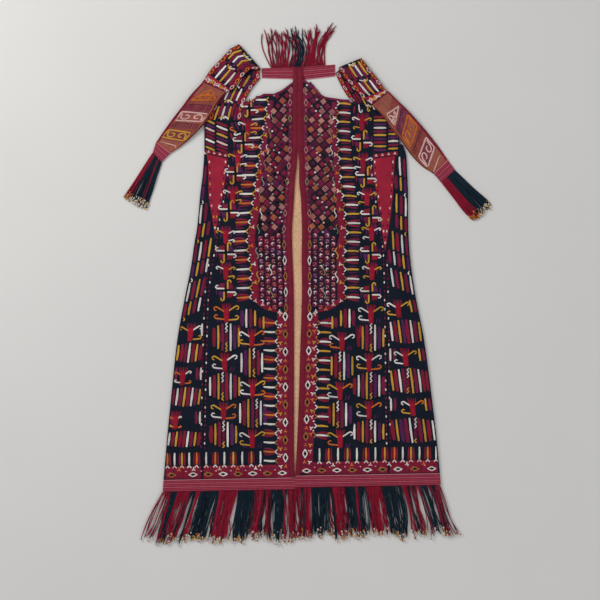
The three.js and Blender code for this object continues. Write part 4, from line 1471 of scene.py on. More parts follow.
# Short bars in the corner by each sleeve, from one end to the other, and curls over them.
CORNERS = {
    "left": (
        ((-186, 453, -178, 428, "m"), (-176, 456, -166, 434, "p"), (-188, 424, -180, 404, "r")),
        ((-172, 428, 160, 20, "o"), (-160, 424, 200, 18, "w")),
    ),
    "right": (
        ((158, 500, 156, 480, "r"), (196, 480, 194, 462, "m"), (160, 476, 158, 458, "p")),
        ((170, 504, -84, 22, "w"), (196, 502, -96, 16, "g")),
    ),
}


def shoulder_corner(needle, side):
    bars, curls = CORNERS[side]
    for row in bars:
        bar(needle, *row, 7)
    for row in curls:
        hook(needle, *row, outward(side), 4.2)


SKIRT_TOP = -85


def edge_strip(needle, side):
    """The strip beside the binding, with its column of diamonds."""
    out = outward(side)
    for ya, yb in pairwise(steps(540, body_foot(side) + 3, 22)):
        wide, letter = (47 - BINDING, "red") if yb < SKIRT_TOP else (12, "maroon")
        inner = [(edge_x(side, y) + out * BINDING, y) for y in (ya, yb)]
        strip(needle, [((x, y), (x + out * wide, y)) for x, y in inner], letter)
    for k, y in enumerate(steps(510, -64, 45)):
        x = edge_x(side, y) + out * (BINDING + 8)
        shades = ("dusty", "olive", "rose", "dusty") if y > 150 else "wuwu"
        ring_diamond(needle, x, y, 4.6, 13 if y < 150 else 10, shades[k % 4], 2.4, "wine")
        for rise, reach in ((20, 3.2), (25, 1.2)):
            needle.line([(x - reach, y - rise), (x + reach, y - rise)], 3.2, shades[(k + rise // 6) % 4], 1)
    for k, y in enumerate(steps(SKIRT_TOP - 3, body_foot(side) + 34, 24.6)):
        x = edge_x(side, y) + out * (BINDING + 10)
        if k % 2 == 0:
            ring_diamond(needle, x, y, 6.4, 12, "wu"[k // 2 % 2], 3.2)
            sprig(needle, x + out * 14, y + 7, 6.5, 90 + 70 * out, "ko"[k // 2 % 2])
        else:
            sprig(needle, x, y, 5, 90, "ou"[k // 2 % 2])
            sprig(needle, x + out * 14, y, 6, 90 - 70 * out, "wg"[k // 2 % 2])
        for dx, dy in ((-6, 8), (19, 4), (8, -11)):
            fleck(needle, x + out * dx, y + dy, 4, "np"[k % 2])


def skirt_bars(needle, side):
    """Bars with forked heads down the front edge of the skirt."""
    out, left = outward(side), side == "left"
    rows = [(edge_x(side, y) + out * 50, y) for y in steps(-106, -492 if left else -420, 26.4)]
    for k, (head, y) in enumerate(rows):
        white = k % 2 == left
        headed_bar(needle, side, k, white, head, 35, y, "u" if white else "w", -out * 1.5)
    links(needle, out, rows, "wowk")


def skirt_bunches(needle, side):
    """The skirt's crimson blocks with hooks, each over a bunch of upright bars."""
    rows = SKIRT[side]
    out = outward(side)
    for x, y, plan, bars in rows:
        below = [row[1] for row in rows if abs(row[0] - x) < 30 and row[1] < y]
        foot = (below[0] + 29) if below else body_foot(side) + 86
        if bars:
            bunch(needle, x, y - 27, foot, bars)
            night = [(x + dx, foot - 4 + abs(dx) * 0.36) for dx in range(-46, 47, 8)]
            needle.line(night, (3.4,) * 3, "night", 1, 0.3)
        for j, step in product((-1, 1), (15, 23)):
            path = [(x + j * step, y - 25), (x + j * (step + 4), y - 12)]
            needle.line(path, (3, 4.4, 2.4), "mp"[step % 2], 0, 0.3)
        ram(needle, x, y)
        hooks_round(needle, x, y, plan)
    bunch(needle, out * 138, -66, -120, "pwmg" if side == "left" else "gmwm", 12, swell=0.2)
    bunch(needle, out * 96, -88, -122, "mgm", 10, swell=0.2)
    bunch(needle, out * 170, -112, -146, "nm", 10, swell=0.2)


def seam_ticks(needle, side, y0, y1, inset, pitch, on=front_x, letters="wnkngn"):
    """Small stitches down a seam, their colours by turns."""
    for k, y in enumerate(steps(y0, y1, pitch)):
        x = on(side, y) - outward(side) * inset
        needle.line([(x, y + 3.4), (x, y - 3.4)], (2.6, 4.0, 2.6), letters[k % 6], 1, 0.35)


def hem_border(needle, side, band, bars, diamonds, first=0):
    """A crimson strip along the hem with diamonds on it, and upright bars with forked feet over it.
    Each is given by where it starts, where it ends and how far apart its parts are."""
    foot = body_foot(side)

    def level(x):
        return foot + hem_tilt(side, x, foot) + 1

    for a, b in pairwise(steps(*band)):
        corners = [(a, level(a) + 36), (b, level(b) + 36), (b, level(b) + 1), (a, level(a) + 1)]
        needle.block(corners, "red", 0, (2, 2), steady=True)
    for k, x in enumerate(steps(*bars)):
        low = level(x)
        white = (k + first) % 2 == 0
        letter = "w" if white else "og"[(k + first) // 2 % 2]
        bar(needle, x, low + 74, x, low + 40, letter, 5.6)
        for j in (-1, 1):
            if not white:
                needle.line([(x + j * 6.6, low + 73), (x + j * 7.2, low + 39)], (4, 7.4, 6), "red", 0, 0.4)
            fork = [(x, low + 38), (x + j * 5.6, low + 31)]
            needle.line(fork, (3, 3.4, 2.8), "wk"[(k // 2) % 2], 2, 0.4)
        if k % 2 == 1:
            sprig(needle, x + 12, low + 27, 6, 90, "wok"[k // 2 % 3])
    for k, x in enumerate(steps(*diamonds)):
        low = level(x)
        ring_diamond(needle, x, low + 12, 12, 5.4, "wu"[k % 2], 2.9)
        for dx, dy in ((-17, 22), (-8, 25), (8, 22), (17, 26), (-16, 5), (16, 5), (20, 15)):
            fleck(needle, x + dx, low + dy, 3, "np"[(k + dy) % 2])
        for dx, letter in ((-20, "k"), (-5, "u")):
            y = low + 17 - dx / 5
            needle.line([(x + dx - 2, y), (x + dx + 2, y)], 3.2, letter, 2, 0.3)


def neck_trim(needle, side):
    """A narrow crimson trim along the neckline."""
    out = outward(side)
    rows = [(row["x"] - out * 1.5, row["y"] - 3.2) for row in NECKLINE[side] if abs(row["x"]) < 160]
    for ends in pairwise(sorted(rows, key=lambda row: abs(row[0]))):
        needle.line(ends, (5.4,) * 3, "maroon", 2, 0.4)


def front_embroidery(side):
    left, out = side == "left", outward(side)
    needle = Needle(f"front_{side}_embroidery", body_surface, seed=11 if left else 23)
    for part in (edge_strip, checks, small_hooks, inner_band, horizontal_bars, hook_column,
                 shoulder_corner, skirt_bars, skirt_bunches):
        part(needle, side)
    seam_ticks(needle, side, 345, -455, 5, 12.5, letters="nkmwnm")
    neck_trim(needle, side)
    outer = front_x(side, body_foot(side)) - out * 3
    band = (out * (52 if left else 26), outer, 24)
    bars = (-105 if left else 60, outer - out * 8, 25)
    hem_border(needle, side, band, bars, (out * 44 if left else 24, outer - out * 14, 43))
    needle.make()


SIDE_COLUMNS = {
    "left": (
        (-300, -132, "gw.g", "rgmwmrgmwp"),
        (-322, -255, "owwo", "gmwmgmwmrg"),
        (-342, -378, "owgo", "mgmwmrgmwm"),
    ),
    "right": (
        (280, -66, "wgg.", "wmgpmwmgr"),
        (300, -202, "wgw.", "gmwmzgmwmr"),
        (320, -341, "wog.", "mgpmwzmgmw"),
    ),
}
SIDE_PLANS = ("mwrgmwm", "pgmwmgr", "wmgmwrg", "rgmwpgm")


def within_fold(x, y, lift):
    """A point over a side panel that stays on its flat part."""
    most = abs(fold_x(side_of(x), y)) - 3.5
    return body_surface(clamp(x, -most, most), y, lift)


def side_bars(needle, side, high, low):
    """Slanting rows of bars that follow the side fold, tall and short rows by turns."""
    out = outward(side)
    y, row = high, 0
    while y - 36 > low:
        tall = 38 if row % 2 else 52
        for column, letter in enumerate(SIDE_PLANS[row % 4]):
            inset = 7 + 12.6 * column
            start = y + 0.42 * inset
            (xa, ya), (xb, yb) = ends = [(fold_x(side, v) - out * inset, v) for v in (start, start - tall)]
            room = min(out * (x - gore_x(side, v)) for x, v in ends)
            if room > 5:
                bar(needle, xa, ya, xb, yb, letter, 5.8 if letter in BRIGHT else 12)
        if row % 2:
            x = fold_x(side, y - tall) - out * 6
            arc = [polar(x, y - tall - 4, 90 + out * turn, 4.4) for turn in (10, 50, 90, 130, 170)]
            needle.line(arc, (2.6, 3.4, 2.6), "w" if row % 4 == 1 else "g", 2, 0.4)
        y -= tall + (14 if row % 2 else 5)
        row += 1


def side_embroidery(side):
    """Long slanting bars above, and crimson blocks with bunches of bars below, on a side panel."""
    left, out, foot = side == "left", outward(side), body_foot(side)
    needle = Needle(f"side_panel_{side}_embroidery", within_fold, seed=31 if left else 43)
    side_bars(needle, side, *((330, -106) if left else (350, -36)))
    rows = SIDE_COLUMNS[side]
    for k, (x, y, plan, bars) in enumerate(rows):
        end = rows[k + 1][1] + 38 if k < len(rows) - 1 else foot + 88
        near, far = gore_x(side, y - 40) + out * 9, fold_x(side, y - 40) - out * 8
        fill = bars[: round(abs(far - near) / 11) + 1]
        pitch = abs(far - near) / (len(fill) - 1)
        bunch(needle, (near + far) / 2, y - 30, end, fill[::out], pitch, -out * 0.13, 0.22)
        for line, inset, letters in ((gore_x, 9, "wm"), (fold_x, -8, "mg")):
            room = abs(line(side, y) - x) - 34
            for j, letter in enumerate(letters[: round(room / 11)]):
                step = out * (inset + (11 if inset > 0 else -11) * j)
                (xa, ya), (xb, yb) = ((line(side, v) + step, v) for v in (y + 24, y - 10))
                bar(needle, xa, ya, xb, yb, letter, 5.8 if letter in BRIGHT else 11)
        ram(needle, x, y, 50, -out * 0.12)
        hooks_round(needle, x, y, plan, min(25, out * (fold_x(side, y) - x) - 10))
    seam_ticks(needle, side, 80, foot + 90, -5, 12.5, gore_x, "nmwnnm")
    inner, outer = gore_x(side, foot) + out * 4, fold_x(side, foot) - out * 5
    bars = (inner + out * 12, outer - out * 6, 22)
    hem_border(needle, side, (inner, outer, 24), bars, (inner + out * 22, outer - out * 18, 40), 1)
    needle.make()


def gusset_embroidery(side):
    """Small stitches along a gusset's two long seams."""
    needle = Needle(f"gusset_{side}_embroidery", body_surface, seed=53)
    for inset, line in ((-4.5, front_x), (4.5, gore_x)):
        seam_ticks(needle, side, 344, GUSSET_POINT[side] + 26, inset, 16, line)
    needle.make()


def patch_embroidery(side):
    """Slanting or level bars on a shoulder patch, over a crimson border."""
    left, out = side == "left", outward(side)
    needle = Needle(f"shoulder_patch_{side}_embroidery", body_surface, seed=61 if left else 67)
    inner, outer = front_x(side, 400) + out * 4, gore_x(side, 400) - out * 4
    letters = "rwmgpkm" if left else "rgpwmgp"
    slope, high = (9, 452) if left else (0, 470)
    middle = mix(inner, outer, 0.55)
    for k, y in enumerate(steps(high, 378, 10.6)):
        bar(needle, inner, y - slope, middle - out * 3, y + slope * 0.4, letters[k % 7])
        bar(needle, middle + out * 3, y + 3 - slope * 0.5, outer, y + 4 + slope * 0.6, letters[(k + 3) % 7])
    for ends in pairwise(steps(0, 1, 0.25)):
        (xa, ya), (xb, yb) = ((mix(inner - out * 2, outer, s), patch_y(side, "foot", s)) for s in ends)
        needle.block([(xa, ya + 2), (xb, yb + 2), (xb, yb + 13), (xa, ya + 13)], "red", 0, (2, 2))
        sprig(needle, (xa + xb) / 2, (ya + yb) / 2 + 8, 4, 90, "k")
    needle.make()


def ribbon_fill(needle, ribbon, y0, y1, sides, letter, spacing=14):
    """A filled strip along a ribbon between two lines, given by their shares of its half width."""
    for a, b in pairwise(steps(y0, y1, spacing)):
        low, high = (side * ribbon.half((a + b) / 2) for side in sides)
        needle.block([(low, a), (high, a), (high, b), (low, b)], letter, 0, (3, 2))


def upper_sleeve_embroidery(side):
    """Bars along the upper sleeve, between crimson borders with diamonds, on the faces that show."""
    fold = fold_stations(side)
    charts = {
        "riser": (Ribbon(riser_stations(side)[1:] + fold[:5], 1), 3, 2),
        "forward": (Ribbon(fold[6:] + upper_forward(side), -1), 2, 22),
    }
    for part, (ribbon, start, stop) in charts.items():
        needle = Needle(f"sleeve_{side}_{part}_embroidery", ribbon, seed=71 if part == "riser" else 79)
        end = ribbon.length - stop
        for edges in ((-0.97, -0.74), (0.74, 0.97)):
            ribbon_fill(needle, ribbon, start, end, edges, "crimson")
        for k, y in enumerate(steps(start + 12, end - 8, 23)):
            for edge in (-0.86, 0.86):
                ring_diamond(needle, edge * ribbon.half(y), y, 4.2, 8.5, "ok"[(k + (edge > 0)) % 2], 2.6)
        for i, (ya, yb) in enumerate(pairwise(steps(start, end, 48))):
            # Painted shade: most bars and the hooks are left off the upper part of the left riser, so its
            # dark ground stands in for the shade under the sleeve's fold.
            bare_in_shade = part == "riser" and side == "left" and ya > 0.52 * end
            for j, letter in enumerate(("gmwpgrm", "mwpgmwr", "pgmwrgp")[i % 3]):
                share = ((j + 0.5) / 7 * 2 - 1) * 0.7
                if bare_in_shade and share < 0.5:
                    continue
                shift = 6 if j % 2 else -4
                high, low = (clamp(y, start, end) for y in (ya + 4 + shift, yb - 4 + shift))
                path = [(share * ribbon.half(y), y) for y in (high, (high + low) / 2, low)]
                bright = letter in BRIGHT
                width = 6.2 if bright else 9.4
                needle.line(path, (width * 0.66, width, width * 0.7), letter, int(bright), 0.5)
            if not bare_in_shade:
                hook(needle, 0.22 * ribbon.half(ya), ya + 3, 150, 15, "w", 1, 4.0)
                hook(needle, -0.36 * ribbon.half(ya), ya + 4, 40, 14, "g", -1, 4.0)
        if part == "forward":
            ribbon_fill(needle, ribbon, end + 1, ribbon.length - 2, (-0.97, 0.97), "crimson", 9)
            y = ribbon.length - 10
            for k in range(8):
                sprig(needle, (k - 3.5) / 4 * ribbon.half(y), y, 7, 90 if k % 2 else 270, "kwg"[k % 3])
        needle.make()


def volute(x, y, start, turn, radius):
    """Points that curl inwards, from an angle, one way round."""
    curl = []
    for k in range(11):
        angle, reach = math.radians(start + turn * 33 * k), radius * (1 - 0.06 * k)
        curl.append((x + reach * math.cos(angle), y + 1.2 * reach * math.sin(angle)))
    return curl


TRIANGLE = (
    ((-1, 0.6), (0, -0.85), (1, 0.6), (-1, 0.6)),
    ((0, -0.5), (0, 0.42)),
    [(0, -0.3)] + volute(-0.33, 0.22, -50, -1, 0.21),
    [(0, -0.3)] + volute(0.33, 0.22, -130, 1, 0.21),
)
SLANTED = (
    ((-1, -0.6), (1, -0.6), (1, 0.6), (-1, 0.6), (-1, -0.6)),
    [(-0.9, -0.42)] + volute(-0.43, 0, 200, -1, 0.4),
    [(0.9, 0.42)] + volute(0.43, 0, 20, -1, 0.4),
)
HALF_TRIANGLE = (
    ((-1, 0.6), (0.9, -0.6), (1, 0.6), (-1, 0.6)),
    ((0.75, -0.3), (0.2, 0.5)),
    [(0.5, 0.1)] + volute(0.72, 0.3, 120, -1, 0.2),
    [(0.5, 0.1)] + volute(0.0, 0.3, 60, 1, 0.2),
)
# One row for each motif down a lower sleeve: its place, its outline, its thread and its half height.
PANEL_MOTIFS = {
    "left": (
        (0.14, TRIANGLE, "o", 27), (0.33, None, "m", 11), (0.47, SLANTED, "k", 24), (0.62, None, "p", 11),
        (0.77, SLANTED, "g", 24), (0.92, None, "k", 6),
    ),
    "right": (
        (0.19, HALF_TRIANGLE, "k", 31), (0.33, None, "p", 6), (0.48, SLANTED, "o", 33), (0.63, None, "m", 6),
        (0.78, SLANTED, "k", 31), (0.94, None, "k", 4),
    ),
}
# How far the motifs slant at a lower sleeve's head and at its foot.
PANEL_SKEW = {"left": (-0.34, 0.0), "right": (0.6, 0.46)}


def lower_sleeve_embroidery(side):
    """Outlined motifs over bands of close stitches on the salmon sleeve, between piped edges."""
    ribbon = Ribbon(lower_stations(side), -1)
    needle = Needle(f"sleeve_panel_{side}_embroidery", ribbon, seed=83)
    end = ribbon.length
    for ends, shade in zip(pairwise(steps(0, 1, 1 / 7)), ("salmon", "rust", "rose") * 3):
        half, skew = ribbon.half(end * ends[0]), mix(*PANEL_SKEW[side], ends[0])
        for x in steps(-0.8, 0.8, 0.1):
            low, high = (clamp(s * end + skew * x * half, 3, end - 3) for s in ends)
            if high - low > 4:
                needle.line([(x * half, low + 1), (x * half, high - 1)], (3, 3.4, 3), shade, 0, 0.3)
    for share, outline, letter, size in PANEL_MOTIFS[side]:
        y, skew = share * end, mix(*PANEL_SKEW[side], share)
        wide = ribbon.half(y) * ((0.76 if side == "left" else 0.7) if outline else 0.72)

        def path(*places):
            return [(px * wide, clamp(y + py * size + skew * px * wide, 4, end - 4)) for px, py in places]

        for line in outline or ():
            needle.line(path(*line), (4.4 if len(line) < 6 else 3.8,) * 3, letter, 2, 0.5)
        if outline is None and letter in BRIGHT:
            needle.line(path((-1, 0.8), (-0.9, 0), (1, 0), (1.04, 0.8)), 2.8, letter, 1, 0.4)
        elif outline is None:
            for px in steps(-1, 1, 0.25):
                needle.line(path((px, -0.7), (px, 0.7)), (2.0, 2.6, 2.0), letter, 1, 0.35)
            needle.line(path((-1, -0.9), (1, -0.9)), (2.0, 2.4, 2.0), "wine", 1, 0.3)
    for edge in (-1, 1):
        ribbon_fill(needle, ribbon, 2, end - 1, sorted((edge * 0.9, edge * 0.99)), "wine")
        for ya, yb in pairwise(steps(2, end - 2, 20)):
            piping = [(edge * 0.86 * ribbon.half(y), y) for y in (ya, (ya + yb) / 2, yb)]
            needle.line(piping, (3.2,) * 3, "crimson" if edge < 0 else "copper", 1, 0.45)
    needle.make()


# ---- Fringes ----
def knot_shape():
    """One small thread knot, as points and faces about its middle, in its own size."""
    bpy.ops.object.select_all(action="DESELECT")
    bpy.ops.mesh.primitive_ico_sphere_add(subdivisions=1, radius=1, location=(0, 0, 0))
    ball = bpy.context.object
    bpy.ops.object.mode_set(mode="EDIT")
    bpy.ops.mesh.select_all(action="SELECT")
    bpy.ops.transform.resize(value=(1.25, 1, 0.9))
    bpy.ops.object.mode_set(mode="OBJECT")
    points = [v.co.copy() for v in ball.data.vertices]
    faces = [tuple(face.vertices) for face in ball.data.polygons]
    bpy.data.objects.remove(ball)
    return points, faces


class Fringe(Threads):
    """Twists threads and ties their knots."""

    SIDES = 5
    flat = False

    def __init__(self, node, seed):
        super().__init__(f"{node}_threads", seed)
        self.node, self.knot = node, knot_shape()

    def thread(self, path, radius, silk_name, light=1.0):
        """A tube along a path, closed at both ends."""
        colour = (*[min(1.0, c * light) for c in SILKS[silk_name]], 1.0)
        first, last = len(self.points), len(path) - 1
        for k, (point, along) in enumerate(zip(path, running(path))):
            ahead = (path[min(k + 1, last)] - path[max(k - 1, 0)]).normalized()
            aside = ahead.cross(Vector((0, 0, 1))).normalized()
            up = aside.cross(ahead)
            size = radius * (0.35 if k in (0, last) else 1)
            for j in range(self.SIDES):
                angle = math.tau * j / self.SIDES
                place = point + (aside * math.cos(angle) + up * math.sin(angle)) * size
                self.put(place, along, radius * (2 * j / self.SIDES - 1), colour)
        for k in range(last):
            for j in range(self.SIDES):
                a, b = first + k * self.SIDES + j, first + k * self.SIDES + (j + 1) % self.SIDES
                self.faces.append((a, b, b + self.SIDES, a + self.SIDES))
        end = first + last * self.SIDES
        self.faces.append(tuple(range(first, first + self.SIDES))[::-1])
        self.faces.append(tuple(range(end, end + self.SIDES)))

    def tie(self, point, ahead, size, silk_name):
        """A knot on a thread."""
        shape, faces = self.knot
        turn = Vector((1, 0, 0)).rotation_difference(ahead)
        point = Vector((point.x, point.y, max(point.z, size * 1.1)))
        first = len(self.points)
        for p in shape:
            self.put(point + turn @ (p * size), p.x * size, p.y * size, (*SILKS[silk_name], 1.0))
        self.faces += [tuple(first + v for v in face) for face in faces]

    def lock(self, start, tip, spread, floor, silk_name, knots, sway=(1.0, 3.0), bow=0.0, fewer=0, girth=1.0):
        """Several threads from one root, winding and parting towards their tips."""
        radius = sizes().thread / MM * girth
        count = sizes().threads_per_lock - fewer
        chance = self.chance
        ahead = (tip - start).normalized()
        aside = Vector((-ahead.y, ahead.x, 0))
        for k in range(count):
            place = (k + 0.5) / count - 0.5
            root = start + aside * place * spread[0]
            end = tip + aside * (place + chance.uniform(-0.5, 0.5)) * spread[1]
            end += ahead * chance.uniform(-15, 7)
            end.z = floor + radius + chance.random() * 1.6
            drift = chance.uniform(-1, 1) * spread[1] * 0.2
            swing = chance.uniform(*sway)
            turns, phase = chance.uniform(3.5, 8), chance.uniform(0, 6.3)
            path = []
            for t in (i / 13 for i in range(14)):
                point = root.lerp(end, t)
                side_step = bow * math.sin(math.pi * t) + drift * math.sin(math.pi * t)
                point += aside * (side_step + swing * math.sin(phase + turns * t) * t**1.4)
                point.z = mix(root.z, end.z, smoothstep(t, 0.2, 0.75)) + 0.5 * math.sin(phase + 9 * t) * t
                point.z = max(point.z, floor + radius * 0.95)
                path.append(point)
            light = chance.uniform(0.55, 1.3)
            self.thread(path, radius * chance.uniform(0.85, 1.1), silk_name, light)
            way = (path[-1] - path[-2]).normalized()
            if knots and chance.random() < 0.6:
                size = radius * chance.uniform(1.4, 2.3)
                self.tie(path[-1] - way, way, size, chance.choice(knots))
                if chance.random() < 0.5:
                    self.tie(path[-1] + way * 3, way, size * 0.7, chance.choice(knots))

    def make(self):
        finish(self.mesh(), "Fringe Thread", [self.node])


KNOTS = ("knot gold", "knot cream", "knot rust", "knot cream")
HEM_SPREAD = {"left": 0.145, "right": 0.112}
# Where the hem fringe changes between crimson, which comes first, and blue-black.
FRINGE_TURNS = (-365, -330, -274, -228, -169, -125, -77, -30, 38, 80, 130, 181, 237, 287, 337, 383)


def hem_fringe(node, ends, edge, start_z, floor, reach, locks, seed):
    """A fringe along the hem: bunches of crimson and blue-black by turns."""
    fringe = Fringe(node, seed)
    chance = fringe.chance
    heading = [Vector((x, edge(x) - 1.6, start_z(x))) for x in steps(*ends, 12)]
    fringe.thread(heading, 1.3, "fringe red", 0.8)
    for k in range(locks):
        x = mix(*ends, (k + 0.5) / locks)
        start = Vector((x, edge(x) + 1.5, start_z(x)))
        place = bisect.bisect(FRINGE_TURNS, x + chance.uniform(-4, 4))
        nearest = [FRINGE_TURNS[min(max(place - j, 0), len(FRINGE_TURNS) - 1)] for j in (0, 1)]
        middle = sum(nearest) / 2 + 6 * math.sin(2.3 * place + seed)
        aside = x * HEM_SPREAD[side_of(x)] + 0.34 * clamp(middle - x, -26, 26) + chance.uniform(-4, 4)
        fall = reach + 7 * math.sin(2.1 * place + seed) * (1 - abs(x - middle) / 60)
        tip = Vector((x + aside, start.y - fall + chance.uniform(-4, 4), floor))
        dark = (place % 2 == 1) != (chance.random() < 0.09)
        tip.x += chance.choice((0, 0, 0, 10, -10))
        bow = chance.uniform(-6, 6)
        silk_name = "fringe blue" if dark else "fringe red"
        fringe.lock(start, tip, (8.0, 12.0), floor, silk_name, KNOTS, (1.5, 6.0), bow, 1, 1.1)
    fringe.make()


def hem_fringes():
    for side in SIDE_NAMES:
        foot, out = HEM[side]["y"] - SEAM / 2 - TAPE, outward(side)
        hem_fringe(
            f"hem_fringe_{side}",
            sorted((edge_x(side, foot) + out * 2, fold_x(side, foot) - out * 4)),
            edge=lambda x: foot + hem_tilt(side, x, foot),
            start_z=lambda x: front_top(side, x, foot) - 1.3,
            floor=2.6, reach=142, locks=56, seed=5,
        )
    left, right = BACK_SEAM["left"][1] + 5, BACK_SEAM["right"][1] - 5
    hem_fringe(
        "hem_fringe_back",
        (left, right),
        edge=lambda x: back_hem((x - left) / (right - left)) - BACK_TAPE,
        start_z=lambda x: 1.4,
        floor=0.1, reach=134, locks=48, seed=9,
    )


def cuff_fringe(side):
    """The fringe that fans out from a cuff: crimson at one side, blue-black at the other."""
    last = cuff_stations(side)[-1]
    tips = [Vector((*p, 1.2)) for p in SLEEVES[side]["tips"]]
    fringe = Fringe(f"cuff_fringe_{side}", seed=15 if side == "left" else 19)
    a, b = last.outer.copy(), last.inner.copy()
    a.z = b.z = 1.8
    along = (b - a).normalized()
    away = Vector((along.y, -along.x, 0))
    away *= 1 if away.dot((tips[0] + tips[1]) / 2 - (a + b) / 2) > 0 else -1
    locks = 15
    for lift, k in product((0.0, 1.4), range(locks)):
        share = (k + 0.5) / locks
        start = a.lerp(b, 0.03 + share * 0.94) - away
        start.z += lift
        place = share + fringe.chance.uniform(-0.05, 0.05)
        red = (place < 0.26 if side == "left" else place > 0.68) or k == 9
        tip = tips[0].lerp(tips[1], mix(share, 0.12 if share < 0.35 else 0.66, 0.25))
        knots = ("knot gold", "knot rust") if red else ("knot cream", "knot cream", "knot gold")
        fringe.lock(start, tip, (3.6, 7.0), 0.1 + lift, "fringe red" if red else "fringe blue", knots)
    fringe.make()


def neck_fringe():
    """The fringe over the neck band: crimson at its sides, blue-black in its middle."""
    fringe = Fringe("neck_fringe", seed=27)
    ends, locks = (-76, 77), 38

    def band_top(x):
        band = BAND[side_of(x)]
        return mix(band["middle_top"], band["top"], x / band["x"])

    heading = [Vector((x, band_top(x) + 1.2, 1.3)) for x in steps(*ends, 10)]
    fringe.thread(heading, 1.2, "fringe red", 0.8)
    for k in range(locks):
        share = (k + 0.5) / locks
        x = mix(*ends, share)
        dark = 0.34 < share < 0.6 and k % 7
        lean = mix(-18, 30, share) + fringe.chance.uniform(-9, 9) - (11 if dark else 0)
        start = Vector((x, band_top(x) - 0.5, 1.5))
        tip = start + Vector((lean, 104 + 9 * math.sin(1.9 * k), 0))
        silk_name, bow = "fringe blue" if dark else "fringe red", 13 * math.sin(5 * share + 2.6)
        fringe.lock(start, tip, (4.4, 15.0), 0.15, silk_name, (), (3.0, 9.0), bow, 3, 1.2)
    fringe.make()


# ---- Stage ----
CAMERA = {"x": 5.6, "y": -42, "height": 4000, "span": 1680, "sensor": 36}
# Where each lamp stands, its width in metres and its power in watts.
LAMPS = {
    "key_light": ((-2.4, 1.9, 2.1), 1.6, 74),
    "fill_light": ((2.6, 0.4, 2.8), 2.6, 16),
    "low_light": ((0.4, -2.8, 2.2), 2.0, 10),
}


def build_stage():
    """Floor, lights and camera."""
    scene = bpy.context.scene
    bpy.ops.object.select_all(action="DESELECT")
    bpy.ops.mesh.primitive_plane_add(size=40, location=(0, 0, -0.3 * MM))
    floor = bpy.context.object
    floor.name = "studio_floor"
    bpy.ops.object.transform_apply(location=True, rotation=True, scale=True)
    material, nodes, shader = new_material("Studio Floor", 0.8)
    tone = nodes.noise(nodes.add("ShaderNodeTexCoord").outputs["Object"], 3.0, 4.0)
    shade = colours().floor
    nodes.feed(shader.inputs["Base Color"], nodes.blend(tone, lit(shade, 0.97), lit(shade, 1.03)))
    floor.data.materials.append(material)
    for name, (place, size, power) in LAMPS.items():
        lamp = bpy.data.lights.new(name, "AREA")
        lamp.shape, lamp.size, lamp.energy = "SQUARE", size, power
        obj = bpy.data.objects.new(name, lamp)
        obj.location = place
        obj.rotation_euler = (-Vector(place)).to_track_quat("-Z", "Y").to_euler()
        obj.visible_camera = False
        scene.collection.objects.link(obj)
    world = bpy.data.worlds.new("Studio")
    world.use_nodes = True
    sky = world.node_tree.nodes["Background"]
    sky.inputs["Color"].default_value = (0.9, 0.93, 1.0, 1)
    sky.inputs["Strength"].default_value = 0.45
    scene.world = world
    scene.view_settings.view_transform = "Standard"
    camera = bpy.data.cameras.new("camera")
    camera.sensor_width = CAMERA["sensor"]
    camera.lens = CAMERA["sensor"] * CAMERA["height"] / CAMERA["span"]
    camera.clip_end = 50
    eye = bpy.data.objects.new("camera", camera)
    eye.location = [CAMERA[key] * MM for key in ("x", "y", "height")]
    scene.collection.objects.link(eye)
    scene.camera = eye


# ---- Operators ----
class ROBE_OT_stage(bpy.types.Operator):
    """Set the floor, the lights and the camera"""

    bl_idname = "robe.stage"
    bl_label = "Stage"

    def execute(self, context):
        build_stage()
        return {"FINISHED"}


class ROBE_OT_back(bpy.types.Operator):
    """Lay the back, its lining and its hem tape"""

    bl_idname = "robe.back"
    bl_label = "Back and Lining"

    def execute(self, context):
        sheet(back_sheet(), "silk_ground")
        sheet(lining_sheet(), "printed_lining")
        sheet(back_tape_sheet(), "woven_tape")
        return {"FINISHED"}


class ROBE_OT_fronts(bpy.types.Operator):
    """Lay the two front panels"""

    bl_idname = "robe.fronts"
    bl_label = "Front Panels"

    def execute(self, context):
        for side in SIDE_NAMES:
            sheet(front_sheet(side), "silk_ground")
        return {"FINISHED"}


class ROBE_OT_sides(bpy.types.Operator):
    """Lay the side panels round their folds, with the gussets and the shoulder patches"""

    bl_idname = "robe.sides"
    bl_label = "Sides"

    def execute(self, context):
        for side in SIDE_NAMES:
            sheet(side_sheet(side), "silk_ground")
            sheet(gusset_sheet(side), "silk_gusset")
            sheet(patch_sheet(side), "silk_ground")
        return {"FINISHED"}


class ROBE_OT_sleeves(bpy.types.Operator):
    """Fold the hanging sleeves forward, with their cuffs"""

    bl_idname = "robe.sleeves"
    bl_label = "Sleeves"

    def execute(self, context):
        for side in SIDE_NAMES:
            sheet(sleeve_sheet(f"sleeve_{side}", upper_stations(side)), "silk_ground")
            sheet(sleeve_sheet(f"sleeve_panel_{side}", lower_stations(side)), "sleeve_salmon")
            sheet(sleeve_sheet(f"cuff_{side}", cuff_stations(side)), "woven_tape")
        return {"FINISHED"}


class ROBE_OT_trims(bpy.types.Operator):
    """Sew on the neck band, the edge bindings and the hem tapes"""

    bl_idname = "robe.trims"
    bl_label = "Trims"

    def execute(self, context):
        for side in SIDE_NAMES:
            sheet(neck_band_sheet(side), "woven_tape")
            sheet(binding_sheet(side), "silk_binding")
            sheet(hem_tape_sheet(side), "woven_tape")
        return {"FINISHED"}


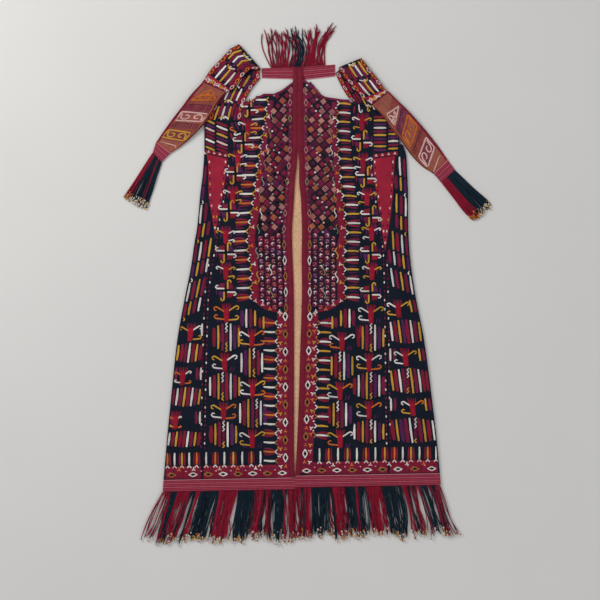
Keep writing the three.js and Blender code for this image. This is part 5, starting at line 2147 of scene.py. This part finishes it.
class ROBE_OT_embroidery(bpy.types.Operator):
    """Stitch the embroidery on every panel"""

    bl_idname = "robe.embroidery"
    bl_label = "Embroidery"

    def execute(self, context):
        for side in SIDE_NAMES:
            front_embroidery(side)
            side_embroidery(side)
            gusset_embroidery(side)
            patch_embroidery(side)
            upper_sleeve_embroidery(side)
            lower_sleeve_embroidery(side)
        return {"FINISHED"}


class ROBE_OT_fringes(bpy.types.Operator):
    """Hang the fringes at the hem, the cuffs and the neck"""

    bl_idname = "robe.fringes"
    bl_label = "Fringes"

    def execute(self, context):
        hem_fringes()
        for side in SIDE_NAMES:
            cuff_fringe(side)
        neck_fringe()
        return {"FINISHED"}


class ROBE_OT_cuts(bpy.types.Operator):
    """Do nothing more: each sheet's flat cut is already stored on it when it is made"""

    bl_idname = "robe.cuts"
    bl_label = "State Cuts"

    def execute(self, context):
        return {"FINISHED"}


STEPS = (
    ROBE_OT_stage,
    ROBE_OT_back,
    ROBE_OT_fronts,
    ROBE_OT_sides,
    ROBE_OT_sleeves,
    ROBE_OT_trims,
    ROBE_OT_embroidery,
    ROBE_OT_fringes,
    ROBE_OT_cuts,
)


class ROBE_PT_panel(bpy.types.Panel):
    """The robe's steps and its sizes and colours"""

    bl_idname = "ROBE_PT_panel"
    bl_label = "Mantle Robe"
    bl_space_type = "VIEW_3D"
    bl_region_type = "UI"
    bl_category = "Robe"

    def draw(self, context):
        for step in STEPS:
            self.layout.operator(step.bl_idname)
        for group in (context.scene.robe_sizes, context.scene.robe_colours):
            box = self.layout.box()
            for name in group.bl_rna.properties.keys():
                if name not in ("rna_type", "name"):
                    box.prop(group, name)


CLASSES = (RobeSizes, RobeColours, *STEPS, ROBE_PT_panel)


def register():
    for cls in CLASSES:
        bpy.utils.register_class(cls)
    bpy.types.Scene.robe_sizes = bpy.props.PointerProperty(type=RobeSizes)
    bpy.types.Scene.robe_colours = bpy.props.PointerProperty(type=RobeColours)


def unregister():
    del bpy.types.Scene.robe_colours
    del bpy.types.Scene.robe_sizes
    for cls in reversed(CLASSES):
        bpy.utils.unregister_class(cls)


def main():
    register()
    for step in STEPS:
        area, name = step.bl_idname.split(".")
        getattr(getattr(bpy.ops, area), name)()


if __name__ == "__main__":
    main()
